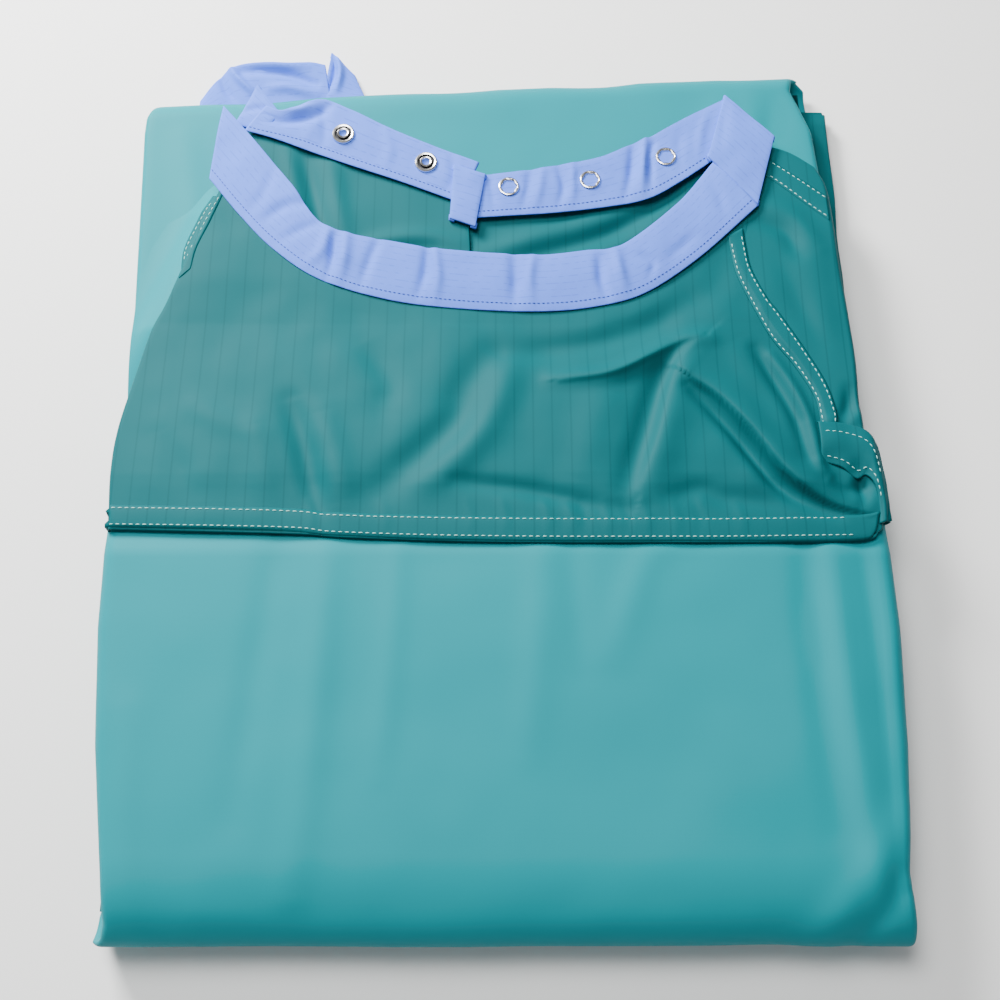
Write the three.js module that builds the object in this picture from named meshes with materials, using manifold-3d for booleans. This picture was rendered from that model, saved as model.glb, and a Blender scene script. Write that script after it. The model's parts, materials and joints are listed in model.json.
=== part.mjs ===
// A reusable surgical gown with an open, snap-closed back, folded flat into a bundle with its front upwards.
//
// Lengths are millimetres. While the pieces are made, x runs across the bundle, y runs from the front fold
// (y = 0) towards the neck and z runs up from the table. Left and right are as seen from above with the
// front fold nearest. The last lines move the origin to the middle of the underside.
//
// The gown is 3 layers deep. The middle of the gown lies on the table, front downwards. At the front fold
// it turns up into the chest layer, which lies on top with the yoke, sleeves and neckband. At the rear fold
// it turns up into the hem layer, which lies between the two others.

import * as THREE from 'three';
import { mergeVertices } from 'three/addons/utils/BufferGeometryUtils.js';
import Module from 'manifold-3d';

const wasm = await Module();
wasm.setup();

// ---- Driving dimensions ----

// The bundle.
const FOLDED_WIDTH = 406;
const FOLDED_LENGTH = 492; // front fold to rear fold, on the centre line
const REAR_SLANT = THREE.MathUtils.degToRad(3.1); // the rear fold lies a little askew
const HEM_LENGTH = 228; // rear fold to hem
const HEM_WIDTH = 396;
const HEM_SHIFT = 10; // how far the hem layer lies to the left
const FRONT_ROLL_TOP = 42; // depth of the soft roll above the front fold
const FRONT_ROLL_BELOW = 28;
const REAR_ROLL = 12;

// Loft of each layer as it lies folded.
const COVER = 3; // front panel and yoke
const BACK_PANEL = 3.5;
const SLEEVE = 9; // a folded sleeve under the chest
const SLEEVE_AT_NECK = 3; // the same, pressed thin beside the neck
const CUFF = 6;
const CUFF_LENGTH = 65;
const CUFF_WIDTH = 76; // at the wrist
const CUFF_FLARE = 7; // each side, where the cuff is sewn to the sleeve
const CUFF_SETBACK = 50; // front fold to the cuff's free end
const CLEARANCE = 0.3; // between pieces that touch

// Yoke, seams and neckband.
const NECK_SETBACK = 161; // front of the neckline to the rear fold
const YOKE_DEPTH = 131; // yoke seam to the front of the neckline
const NECK_LEFT = 163; // neckline's left end from the centre line
const NECK_RIGHT = 145;
const NECK_RISE_LEFT = 80; // how far the left end lies behind the neckline's front
const NECK_RISE_RIGHT = 63;
const BACK_NECK_RISE = 65; // how far the back neckline lies behind the front one, at the centre back
const BAND_WIDTH = 32; // front neckband
const BACK_BAND_WIDTH = 34;
const BACK_BAND_RISE = 38; // how far the left back band's root lies behind the neckline's left end
const FLAP_START = 22; // fixed length of the back band beside the left shoulder
const FLAP_LENGTH = 103; // length of its free end, without the tab
const SEAM_WIDTH = 16; // doubled and topstitched yoke seam
const RAGLAN_WIDTH = 12;
const SLEEVE_EDGE = 7; // how far the left sleeve shows beside the yoke's folded edge
const SEAM_LOFT = 1;
const SHOULDER_SLOPE = 90; // length over which the chest thins towards the neck
const ARMPIT_ABOVE_SEAM = 57;
const ARMPIT_INSET = 30; // raglan seam's lower end from the right edge

// Snaps and ties.
const SOCKET_RADIUS = 6.6;
const RING_RADIUS = 6.1;
const SNAP_DEPTH = 1.4; // each half's depth inside the band
const SOCKET_PITCH = 52;
const RING_END = 25; // last ring to the shoulder, along the band
const TAB_LENGTH = 13;
const TAB_BELOW = 6; // how far the tab hangs below the band's sewn edge
const FLAP_GAP = 1; // between the lifting band end and the fixed neckband
const CORNER_GAP = 2.5; // beside the lifting panel corner, whose thick edge swings outwards
const TIE_LOFT = 8;
const TIE_PRESSED = 2.8; // room left for the ties once the hem layer is unfolded over them
const TIE_REACH = 30; // how far the ties show behind the rear fold

// ---- Heights of the layers ----

const above = (z) => z + CLEARANCE;

const midRightFloor = above(COVER);
const midLeftFloor = above(midRightFloor + BACK_PANEL);
const hemLeftFloor = above(midLeftFloor + BACK_PANEL);
const hemRightFloor = above(hemLeftFloor + BACK_PANEL);
const hemCoverFloor = above(hemRightFloor + BACK_PANEL);
const hemCoverTop = hemCoverFloor + COVER;
const hemPivotZ = (hemCoverTop + TIE_PRESSED) / 2;
const spineZ = hemCoverTop + CLEARANCE / 2;
const chestFloor = above(hemCoverTop);
const upperLeftFloor = above(chestFloor + BACK_PANEL);
const upperLeftTop = upperLeftFloor + BACK_PANEL;
const sleeveFloor = above(upperLeftTop);
const neckCoverFloor = above(sleeveFloor + SLEEVE_AT_NECK);
const neckCoverTop = neckCoverFloor + COVER;
const bodyCoverFloor = above(sleeveFloor + SLEEVE);
const bodyCoverTop = bodyCoverFloor + COVER;

// ---- Places in plan ----

const halfWidth = FOLDED_WIDTH / 2;
const neckFrontY = FOLDED_LENGTH - NECK_SETBACK;
const yokeSeamY = neckFrontY - YOKE_DEPTH;
const armpitY = yokeSeamY + ARMPIT_ABOVE_SEAM;
const BEYOND = 1000; // reaches past the whole bundle, for cutting solids

const neckline = new THREE.SplineCurve([
  new THREE.Vector2(-NECK_LEFT, neckFrontY + NECK_RISE_LEFT),
  new THREE.Vector2(-0.67 * NECK_LEFT, neckFrontY + 0.3 * NECK_RISE_LEFT),
  new THREE.Vector2(0.1 * NECK_RIGHT, neckFrontY),
  new THREE.Vector2(0.7 * NECK_RIGHT, neckFrontY + 0.38 * NECK_RISE_RIGHT),
  new THREE.Vector2(NECK_RIGHT, neckFrontY + NECK_RISE_RIGHT),
]);
const neckEnd = neckline.getPoint(1);

// The left end of the back neckband runs straight from its root by the left shoulder.
const flapRoot = new THREE.Vector2(-NECK_LEFT + 16, neckFrontY + NECK_RISE_LEFT + BACK_BAND_RISE);
const flapAngle = THREE.MathUtils.degToRad(-21);
const flapEnd = FLAP_START + FLAP_LENGTH;

function onBand(along, across) {
  return new THREE.Vector2(along, across).rotateAround(new THREE.Vector2(), flapAngle).add(flapRoot);
}

// The corner of the left back panel lifts with the band about this line.
const panelEdgeX = onBand(flapEnd + TAB_LENGTH, 0).x;
const hingeStart = onBand(FLAP_START, 0);
const hingeEnd = new THREE.Vector2(panelEdgeX, neckFrontY + BAND_WIDTH + 9);

// On the left the yoke is folded in from the neckline's end to the arm. Points beside that edge.
const leftArm = new THREE.Vector2(-halfWidth + 15, neckFrontY + 6);

function besideYoke(along, outwards) {
  const top = neckline.getPoint(0);
  const direction = leftArm.clone().sub(top).normalize();
  const outward = new THREE.Vector2(direction.y, -direction.x).multiplyScalar(outwards);
  return top.lerp(leftArm, along).add(outward);
}

// Raglan seam from the neckline to the right armpit.
const raglanLine = new THREE.SplineCurve([
  new THREE.Vector2(neckEnd.x - 12, neckEnd.y - 17),
  new THREE.Vector2(neckEnd.x - 5, neckEnd.y - 55),
  new THREE.Vector2(halfWidth - 0.55 * (halfWidth - neckEnd.x + ARMPIT_INSET) + 10, armpitY + 55),
  new THREE.Vector2(halfWidth - ARMPIT_INSET, armpitY + 22),
  new THREE.Vector2(halfWidth - ARMPIT_INSET, armpitY),
]);

// ---- Solids ----

function toSolid(geometry) {
  const bare = geometry.index ? geometry.toNonIndexed() : geometry.clone();
  bare.deleteAttribute('normal');
  bare.deleteAttribute('uv');
  const merged = mergeVertices(bare, 1e-4);
  return new wasm.Manifold(new wasm.Mesh({
    numProp: 3,
    vertProperties: new Float32Array(merged.attributes.position.array),
    triVerts: new Uint32Array(merged.index.array),
  }));
}

function toGeometry(solid) {
  const mesh = solid.getMesh();
  const geometry = new THREE.BufferGeometry();
  geometry.setAttribute('position', new THREE.BufferAttribute(new Float32Array(mesh.vertProperties), 3));
  geometry.setIndex(new THREE.BufferAttribute(new Uint32Array(mesh.triVerts), 1));
  geometry.computeVertexNormals();
  return geometry;
}

// A flat piece: an outline in plan between two heights.
function plateGeometry(outline, low, high, holes = []) {
  const shape = new THREE.Shape(outline);
  for (const hole of holes) {
    shape.holes.push(new THREE.Path(hole));
  }
  const geometry = new THREE.ExtrudeGeometry(shape, { depth: high - low, bevelEnabled: false });
  return geometry.translate(0, 0, low);
}

const plate = (outline, low, high, holes) => toSolid(plateGeometry(outline, low, high, holes));

// A side profile, given as [y, z] points, carried straight across from x = left to x = right.
function acrossGeometry(profile, left, right) {
  const shape = new THREE.Shape(profile.map(([y, z]) => new THREE.Vector2(y, z)));
  const geometry = new THREE.ExtrudeGeometry(shape, { depth: right - left, bevelEnabled: false });
  const axes = new THREE.Matrix4().makeBasis(
    new THREE.Vector3(0, 1, 0),
    new THREE.Vector3(0, 0, 1),
    new THREE.Vector3(1, 0, 0),
  );
  return geometry.applyMatrix4(axes).translate(left, 0, 0);
}

const across = (profile, left, right) => toSolid(acrossGeometry(profile, left, right));

// The frame of the rear fold: its origin is on the fold, and y is negative in front of it.
const rearFrame = new THREE.Matrix4()
  .makeRotationZ(REAR_SLANT)
  .premultiply(new THREE.Matrix4().makeTranslation(0, FOLDED_LENGTH, 0));

function acrossRear(profile) {
  return toSolid(acrossGeometry(profile, -BEYOND, BEYOND).applyMatrix4(rearFrame));
}

const point = (x, y) => new THREE.Vector2(x, y);

// Points of a quarter ellipse from (y0, z0), where the fold stands upright, to where it lies flat.
function quarterRoll(y0, z0, depth, rise, steps = 8) {
  const points = [];
  for (let i = 0; i <= steps; i += 1) {
    const angle = (i / steps) * (Math.PI / 2);
    points.push([y0 + depth * (1 - Math.cos(angle)), z0 + rise * Math.sin(angle)]);
  }
  return points;
}

// A curve's points and the same curve moved sideways to its left.
function offsetCurve(curve, distance, divisions) {
  const points = [];
  for (let i = 0; i <= divisions; i += 1) {
    const at = curve.getPointAt(i / divisions);
    const tangent = curve.getTangentAt(i / divisions);
    points.push(point(at.x - tangent.y * distance, at.y + tangent.x * distance));
  }
  return points;
}

function ribbon(curve, fromSide, toSide, divisions) {
  const one = offsetCurve(curve, fromSide, divisions);
  const other = offsetCurve(curve, toSide, divisions);
  return [...one, ...other.reverse()];
}

function circle(centre, radius, sides = 24) {
  const points = [];
  for (let i = 0; i < sides; i += 1) {
    const angle = (i / sides) * 2 * Math.PI;
    points.push(point(centre.x + radius * Math.cos(angle), centre.y + radius * Math.sin(angle)));
  }
  return points;
}

// ---- Materials ----

function cloth(colour, roughness) {
  return new THREE.MeshStandardMaterial({ color: colour, roughness, metalness: 0 });
}

const barrierCloth = cloth(0x04c0c6, 0.55);
const yokeCloth = cloth(0x04898c, 0.7);
const bandCloth = cloth(0x93b1f6, 0.75);
const knitCloth = cloth(0xf2f2ee, 0.9);
const snapMetal = new THREE.MeshStandardMaterial({ color: 0xd4d6d8, roughness: 0.2, metalness: 1 });

const gown = new THREE.Group();
const hemLayer = new THREE.Group();
hemLayer.position.set(0, FOLDED_LENGTH, 0);
hemLayer.rotation.z = REAR_SLANT;
gown.add(hemLayer);

function add(name, shape, material, parent = gown) {
  const geometry = shape.isBufferGeometry ? shape : toGeometry(shape);
  const mesh = new THREE.Mesh(geometry, material);
  mesh.name = name;
  parent.add(mesh);
  return mesh;
}

// ---- Middle of the gown, on the table ----

// The room inside the front panel, this far in from its outer face.
function middleRoom(inset) {
  const front = across([
    [inset, BEYOND],
    ...quarterRoll(inset, spineZ, FRONT_ROLL_BELOW - inset, inset - spineZ),
    [BEYOND, inset],
    [BEYOND, BEYOND],
  ], -BEYOND, BEYOND);
  const rear = acrossRear([
    [-inset, BEYOND],
    ...quarterRoll(-inset, hemPivotZ, inset - REAR_ROLL, inset - hemPivotZ),
    [-BEYOND, inset],
    [-BEYOND, BEYOND],
  ]);
  return front.intersect(rear);
}

function addMiddle() {
  const lipFront = spineZ - CLEARANCE / 2;
  const lipRear = hemPivotZ - CLEARANCE / 2;
  const lipDepth = 2 * REAR_ROLL;
  const front = across([
    ...quarterRoll(0, lipFront, FRONT_ROLL_BELOW, -lipFront),
    [BEYOND, 0],
    [BEYOND, lipFront],
  ], -halfWidth, halfWidth);
  const rear = acrossRear([
    ...quarterRoll(0, lipRear, -REAR_ROLL, -lipRear),
    [-BEYOND, 0],
    [-BEYOND, BEYOND],
    [-lipDepth, BEYOND],
    [-lipDepth, lipRear],
  ]);
  add('front_panel_middle', front.intersect(rear).subtract(middleRoom(COVER)), barrierCloth);

  const room = middleRoom(above(COVER));
  const side = halfWidth - COVER;
  const whole = [point(-side, 0), point(side, 0), point(side, BEYOND), point(-side, BEYOND)];
  const right = plate(whole, midRightFloor, midRightFloor + BACK_PANEL).intersect(room);
  add('right_back_panel_middle', right, yokeCloth);

  // In front of the hem, the left panel's folds fill the room up to the chest layer.
  const hemY = (x) => FOLDED_LENGTH + x * Math.tan(REAR_SLANT) - HEM_LENGTH / Math.cos(REAR_SLANT);
  const full = [
    point(-side, 0),
    point(side, 0),
    point(side, hemY(side) - FLAP_GAP),
    point(-side, hemY(-side) - FLAP_GAP),
  ];
  const under = plate(whole, midLeftFloor, midLeftFloor + BACK_PANEL);
  const left = under.add(plate(full, midLeftFloor, hemCoverTop)).intersect(room);
  add('left_back_panel_middle', left, yokeCloth);
}

// ---- Hem layer ----

function addHem() {
  const left = -HEM_WIDTH / 2 - HEM_SHIFT;
  const right = HEM_WIDTH / 2 - HEM_SHIFT;
  const lip = hemPivotZ + CLEARANCE / 2;
  const outer = quarterRoll(0, lip, -REAR_ROLL, hemCoverTop - lip);
  const inner = quarterRoll(-COVER, lip, COVER - REAR_ROLL, hemCoverFloor - lip);
  const cover = [...outer, [-HEM_LENGTH, hemCoverTop], [-HEM_LENGTH, hemCoverFloor], ...inner.reverse()];
  add('front_panel_hem', acrossGeometry(cover, left, right), barrierCloth, hemLayer);

  const outline = [
    point(left + COVER, -HEM_LENGTH),
    point(right - COVER, -HEM_LENGTH),
    point(right - COVER, -REAR_ROLL),
    point(left + COVER, -REAR_ROLL),
  ];
  const lower = plateGeometry(outline, hemLeftFloor, hemLeftFloor + BACK_PANEL);
  const upper = plateGeometry(outline, hemRightFloor, hemRightFloor + BACK_PANEL);
  add('left_back_panel_hem', lower, yokeCloth, hemLayer);
  add('right_back_panel_hem', upper, yokeCloth, hemLayer);
}

// ---- Chest layer ----

// Side profile of a sheet on the chest, from one height above the cover's floor to another.
function chestProfile(low, high, start) {
  const slopeEnd = neckFrontY - SEAM_WIDTH / 2;
  const slopeStart = slopeEnd - SHOULDER_SLOPE;
  return [
    [start, bodyCoverFloor + low],
    [slopeStart, bodyCoverFloor + low],
    [slopeEnd, neckCoverFloor + low],
    [BEYOND, neckCoverFloor + low],
    [BEYOND, neckCoverFloor + high],
    [slopeEnd, neckCoverFloor + high],
    [slopeStart, bodyCoverFloor + high],
    [start, bodyCoverFloor + high],
  ];
}

// A sheet that follows the chest's cover inside a plan outline.
function onChest(outline, low, high) {
  const sheet = across(chestProfile(low, high, FRONT_ROLL_TOP), -BEYOND, BEYOND);
  return sheet.intersect(plate(outline, 0, BEYOND));
}

const coverEdges = { top: COVER, strip: above(COVER) };

function addFrontPanel() {
  const lip = spineZ + CLEARANCE / 2;
  const outer = quarterRoll(0, lip, FRONT_ROLL_TOP, bodyCoverTop - lip, 12);
  const inner = quarterRoll(COVER, lip, FRONT_ROLL_TOP - COVER, bodyCoverFloor - lip, 12);
  const seamEdge = yokeSeamY - CLEARANCE / 2;
  const profile = [...outer, [seamEdge, bodyCoverTop], [seamEdge, bodyCoverFloor], ...inner.reverse()];
  add('front_panel_upper', acrossGeometry(profile, -halfWidth, halfWidth), barrierCloth);
}

const raglanSteps = 10;
const neckSteps = 20;
const shoulder = {
  leftWaist: point(-halfWidth, armpitY),
  rightArmpit: point(halfWidth, armpitY - 28),
  rightNotch: point(halfWidth - 10, armpitY - 2),
  rightArm: point(halfWidth - 14, neckFrontY + 54),
  rightPoint: point(halfWidth - 19, neckEnd.y + 32),
  rightNeck: point(neckEnd.x + 14, neckEnd.y + 48),
};

function addYoke() {
  const seamEdge = yokeSeamY + CLEARANCE / 2;
  const raglanEdge = offsetCurve(raglanLine, -CLEARANCE / 2, raglanSteps);
  const raglanFoot = raglanEdge[raglanSteps];
  const neckPoints = neckline.getSpacedPoints(neckSteps).filter((p) => p.x < raglanEdge[0].x - 2);
  const outline = [
    point(-halfWidth, seamEdge),
    point(halfWidth, seamEdge),
    shoulder.rightArmpit,
    shoulder.rightNotch.clone().sub(point(0, CLEARANCE)),
    point(raglanFoot.x, armpitY - CLEARANCE),
    ...raglanEdge.reverse(),
    ...neckPoints.reverse(),
    leftArm,
    shoulder.leftWaist,
  ];
  add('chest_yoke', onChest(outline, 0, coverEdges.top), yokeCloth);

  const strip = [
    point(-halfWidth, yokeSeamY),
    point(halfWidth, yokeSeamY),
    point(halfWidth, yokeSeamY + SEAM_WIDTH),
    point(-halfWidth, yokeSeamY + SEAM_WIDTH),
  ];
  add('yoke_seam', onChest(strip, coverEdges.strip, coverEdges.strip + SEAM_LOFT), yokeCloth);
}

function addSleeves() {
  const start = CUFF_SETBACK + CUFF_LENGTH + CLEARANCE;
  const thinnest = above(sleeveFloor);
  const underCover = across(chestProfile(-BEYOND, -CLEARANCE, 0), -BEYOND, BEYOND)
    .intersect(across([[0, sleeveFloor], [BEYOND, sleeveFloor], [BEYOND, BEYOND], [0, BEYOND]], -BEYOND, BEYOND));
  const edge = halfWidth - COVER;
  const leftPlan = [
    point(-edge, start),
    point(-CLEARANCE, start),
    point(-CLEARANCE, neckFrontY - COVER),
    point(-0.4 * NECK_LEFT, neckFrontY - COVER),
    point(-0.75 * NECK_LEFT, neckFrontY + 0.28 * NECK_RISE_LEFT),
    besideYoke(0.25, -8),
    besideYoke(0, SLEEVE_EDGE),
    besideYoke(0.65, SLEEVE_EDGE),
    point(-edge, armpitY - 7),
  ];
  add('left_sleeve', underCover.intersect(plate(leftPlan, 0, BEYOND)), barrierCloth);

  // The right sleeve's cap shows beyond the raglan seam, up to the shoulder.
  const rightPlan = [
    point(CLEARANCE, start),
    point(edge, start),
    point(edge, armpitY - 30),
    point(shoulder.rightNotch.x - COVER, armpitY),
    point(shoulder.rightArm.x - COVER, shoulder.rightArm.y),
    point(shoulder.rightPoint.x - COVER, shoulder.rightPoint.y - COVER),
    point(neckEnd.x + 18, neckEnd.y + 40),
    point(neckEnd.x + 6, neckEnd.y - 2),
    point(0.78 * NECK_RIGHT, neckFrontY + 0.38 * NECK_RISE_RIGHT),
    point(0.45 * NECK_RIGHT, neckFrontY - COVER),
    point(CLEARANCE, neckFrontY - COVER),
  ];
  const capPlan = [
    ...offsetCurve(raglanLine, CLEARANCE / 2, raglanSteps),
    point(halfWidth - ARMPIT_INSET + 2, armpitY + CLEARANCE),
    shoulder.rightNotch,
    shoulder.rightArm,
    shoulder.rightPoint,
    shoulder.rightNeck,
    point(neckEnd.x + 1, neckEnd.y),
  ];
  const cap = across(chestProfile(-BEYOND, COVER, 0), -BEYOND, BEYOND)
    .intersect(across([[0, thinnest], [BEYOND, thinnest], [BEYOND, BEYOND], [0, BEYOND]], -BEYOND, BEYOND))
    .intersect(plate(capPlan, 0, BEYOND));
  const folded = underCover.intersect(plate(rightPlan, 0, BEYOND));
  add('right_sleeve', folded.add(cap), yokeCloth);

  // The knitted cuffs lie at the sleeves' ends, just behind the front fold.
  const cuffEnd = start - CLEARANCE;
  const wrist = CUFF_WIDTH / 2;
  for (const [name, middle] of [['left_cuff', -0.5 * halfWidth], ['right_cuff', 0.5 * halfWidth]]) {
    const outline = [
      point(middle - wrist, CUFF_SETBACK),
      point(middle + wrist, CUFF_SETBACK),
      point(middle + wrist + CUFF_FLARE, cuffEnd),
      point(middle - wrist - CUFF_FLARE, cuffEnd),
    ];
    add(name, plateGeometry(outline, sleeveFloor, sleeveFloor + CUFF), knitCloth);
  }
}

// The back band's sewn edge on the right, from the tab to the right shoulder.
const rightBandStart = point(panelEdgeX + 15, neckFrontY + BACK_NECK_RISE);
const rightBandEnd = point(neckEnd.x - 19, neckEnd.y + 35);
const rightBandLine = new THREE.SplineCurve([
  rightBandStart,
  point(THREE.MathUtils.lerp(rightBandStart.x, rightBandEnd.x, 0.3), neckFrontY + 67),
  point(THREE.MathUtils.lerp(rightBandStart.x, rightBandEnd.x, 0.63), neckFrontY + 76),
  rightBandEnd,
]);

function addBackPanels() {
  const rollRoom = across([
    ...quarterRoll(above(COVER), spineZ, FRONT_ROLL_TOP - above(COVER), bodyCoverFloor - CLEARANCE - spineZ),
    [BEYOND, bodyCoverFloor],
    [BEYOND, spineZ],
  ], -BEYOND, BEYOND);
  const edge = halfWidth - COVER;
  const underBand = BACK_BAND_WIDTH / 2;
  const bandPoints = offsetCurve(rightBandLine, underBand, 6);
  const right = [
    point(-0.5 * halfWidth, 0),
    point(edge, 0),
    point(edge, armpitY - 30),
    point(shoulder.rightArm.x - COVER, neckFrontY),
    point(neckEnd.x + 24, neckEnd.y + 24),
    ...bandPoints.reverse(),
    point(panelEdgeX, neckFrontY + BACK_NECK_RISE + underBand),
    point(-0.5 * halfWidth, neckFrontY + BACK_NECK_RISE),
  ];
  const besideTab = flapEnd + TAB_LENGTH + CORNER_GAP;
  const step = [
    point(panelEdgeX + CORNER_GAP, 0),
    point(BEYOND, 0),
    onBand(besideTab, BEYOND),
    onBand(besideTab, 0),
  ];
  const low = plate(right, chestFloor, chestFloor + BACK_PANEL);
  const high = plate(right, chestFloor, upperLeftTop).intersect(plate(step, 0, BEYOND));
  add('right_back_panel_upper', low.add(high).intersect(rollRoom), yokeCloth);

  // The left panel laps over the right one at the centre back.
  const alongHinge = hingeEnd.clone().sub(hingeStart).normalize();
  const lift = point(-alongHinge.y, alongHinge.x).multiplyScalar(CLEARANCE / 2);
  const left = [
    point(-edge, 0),
    point(panelEdgeX, 0),
    hingeEnd.clone().sub(lift),
    hingeStart.clone().sub(lift),
    onBand(FLAP_START - FLAP_GAP, underBand),
    onBand(0, underBand),
    besideYoke(0, SLEEVE_EDGE),
    besideYoke(0.65, SLEEVE_EDGE),
    point(-edge, armpitY - 7),
  ];
  add('left_back_panel_upper', plate(left, upperLeftFloor, upperLeftTop).intersect(rollRoom), yokeCloth);

  const leftUnder = [
    point(-edge, 0),
    point(-0.5 * halfWidth - CLEARANCE, 0),
    point(-0.5 * halfWidth - CLEARANCE, neckFrontY + BACK_NECK_RISE),
    besideYoke(0.2, SLEEVE_EDGE),
    besideYoke(0.65, SLEEVE_EDGE),
    point(-edge, armpitY - 7),
  ];
  const facing = plate(leftUnder, chestFloor, chestFloor + BACK_PANEL).intersect(rollRoom);
  add('left_side_tuck', facing, barrierCloth);

  const corner = [
    hingeStart.clone().add(lift),
    hingeEnd.clone().add(lift),
    onBand(flapEnd + TAB_LENGTH, 0),
    onBand(flapEnd + TAB_LENGTH, underBand),
    onBand(FLAP_START, underBand),
  ];
  add('left_back_panel_corner', plate(corner, upperLeftFloor, upperLeftTop), yokeCloth);
}

// ---- Neckband ----

function addNeckband() {
  const inner = offsetCurve(neckline, BAND_WIDTH, neckSteps);
  const front = [
    ...neckline.getSpacedPoints(neckSteps).map((p, i) => {
      const tangent = neckline.getTangentAt(i / neckSteps);
      return point(p.x - tangent.y * CLEARANCE, p.y + tangent.x * CLEARANCE);
    }),
    point(neckEnd.x + 13, neckEnd.y + 48),
    point(neckEnd.x - 12, neckEnd.y + 77),
    ...inner.reverse(),
    point(-NECK_LEFT, neckFrontY + NECK_RISE_LEFT + 52),
    point(-NECK_LEFT - 4, neckFrontY + NECK_RISE_LEFT + 4),
  ];
  add('neckband_front', plateGeometry(front, neckCoverFloor, neckCoverTop), bandCloth);

  const bandFloor = sleeveFloor;
  const bandTop = bandFloor + SLEEVE_AT_NECK;
  const leftShoulder = [
    onBand(-8, 4),
    onBand(0, 0),
    onBand(FLAP_START - FLAP_GAP, 0),
    onBand(FLAP_START - FLAP_GAP, BACK_BAND_WIDTH),
    onBand(6, BACK_BAND_WIDTH - 2),
    onBand(-8, 20),
  ];
  add('neckband_left_shoulder', plateGeometry(leftShoulder, bandFloor, bandTop), bandCloth);

  const middle = BACK_BAND_WIDTH / 2;
  const sockets = [0, 1].map((i) => onBand(FLAP_START + 31 + i * SOCKET_PITCH, middle));
  const leftBand = [
    onBand(FLAP_START, 0),
    onBand(flapEnd, 0),
    onBand(flapEnd, BACK_BAND_WIDTH),
    onBand(FLAP_START, BACK_BAND_WIDTH),
  ];
  const socketHoles = sockets.map((at) => circle(at, SOCKET_RADIUS + CLEARANCE));
  add('neckband_left_back', plateGeometry(leftBand, bandFloor, bandTop, socketHoles), bandCloth);

  const tab = [
    onBand(flapEnd + CLEARANCE, -TAB_BELOW),
    onBand(flapEnd + TAB_LENGTH, -TAB_BELOW),
    onBand(flapEnd + TAB_LENGTH, BACK_BAND_WIDTH - TAB_BELOW),
    onBand(flapEnd + CLEARANCE, BACK_BAND_WIDTH - TAB_BELOW),
  ];
  add('neckband_tab', plateGeometry(tab, bandFloor, bandTop), bandCloth);

  const rightBand = ribbon(rightBandLine, 0, BACK_BAND_WIDTH, 12);
  const centreLine = new THREE.SplineCurve(offsetCurve(rightBandLine, middle, 12));
  const length = centreLine.getLength();
  const firstRing = RING_RADIUS + 3;
  const pitch = (length - firstRing - RING_END) / 2;
  const rings = [0, 1, 2].map((i) => centreLine.getPointAt((firstRing + i * pitch) / length));
  const ringHoles = rings.map((at) => circle(at, RING_RADIUS + CLEARANCE));
  add('neckband_right_back', plateGeometry(rightBand, bandFloor, bandTop, ringHoles), bandCloth);

  sockets.forEach((at, i) => {
    add(`snap_socket_${i + 1}`, turned(socketProfile(), at, bandFloor + SNAP_DEPTH + CLEARANCE), snapMetal);
    add(`socket_back_ring_${i + 1}`, turned(ringProfile(), at, bandFloor), snapMetal);
  });
  rings.forEach((at, i) => {
    add(`snap_ring_${i + 1}`, turned(ringProfile(1.6), at, bandFloor + SNAP_DEPTH + CLEARANCE), snapMetal);
    add(`snap_stud_${i + 1}`, turned(studProfile(), at, bandFloor), snapMetal);
  });
}

// Snap halves, turned about their own axis. Each profile is a closed loop of [radius, height] points.
function turned(profile, at, floor) {
  const loop = [...profile, profile[0]].map(([r, z]) => new THREE.Vector2(r, z));
  const geometry = new THREE.LatheGeometry(loop, 20);
  geometry.rotateX(Math.PI / 2);
  return toSolid(geometry.translate(at.x, at.y, floor));
}

function socketProfile() {
  const r = SOCKET_RADIUS;
  return [
    [1.7, 0], [r, 0], [r, 2.2], [r - 0.8, 2.9], [r - 1.8, 2.6], [r - 2, 1.6], [3.6, 1.6], [3.3, 2.7],
    [2.4, 2.7], [1.7, 2.1],
  ];
}

function ringProfile(height = SNAP_DEPTH) {
  const r = RING_RADIUS;
  return [[r - 1.9, 0], [r, 0], [r, 0.6 * height], [r - 0.5, height], [r - 1.4, height], [r - 1.9, 0.6 * height]];
}

function studProfile() {
  return [[1.2, 0], [RING_RADIUS - 0.6, 0], [RING_RADIUS - 0.6, 0.6], [2.4, 0.8], [2.4, SNAP_DEPTH], [1.2, SNAP_DEPTH]];
}

// ---- Topstitched sleeve seams ----

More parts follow.
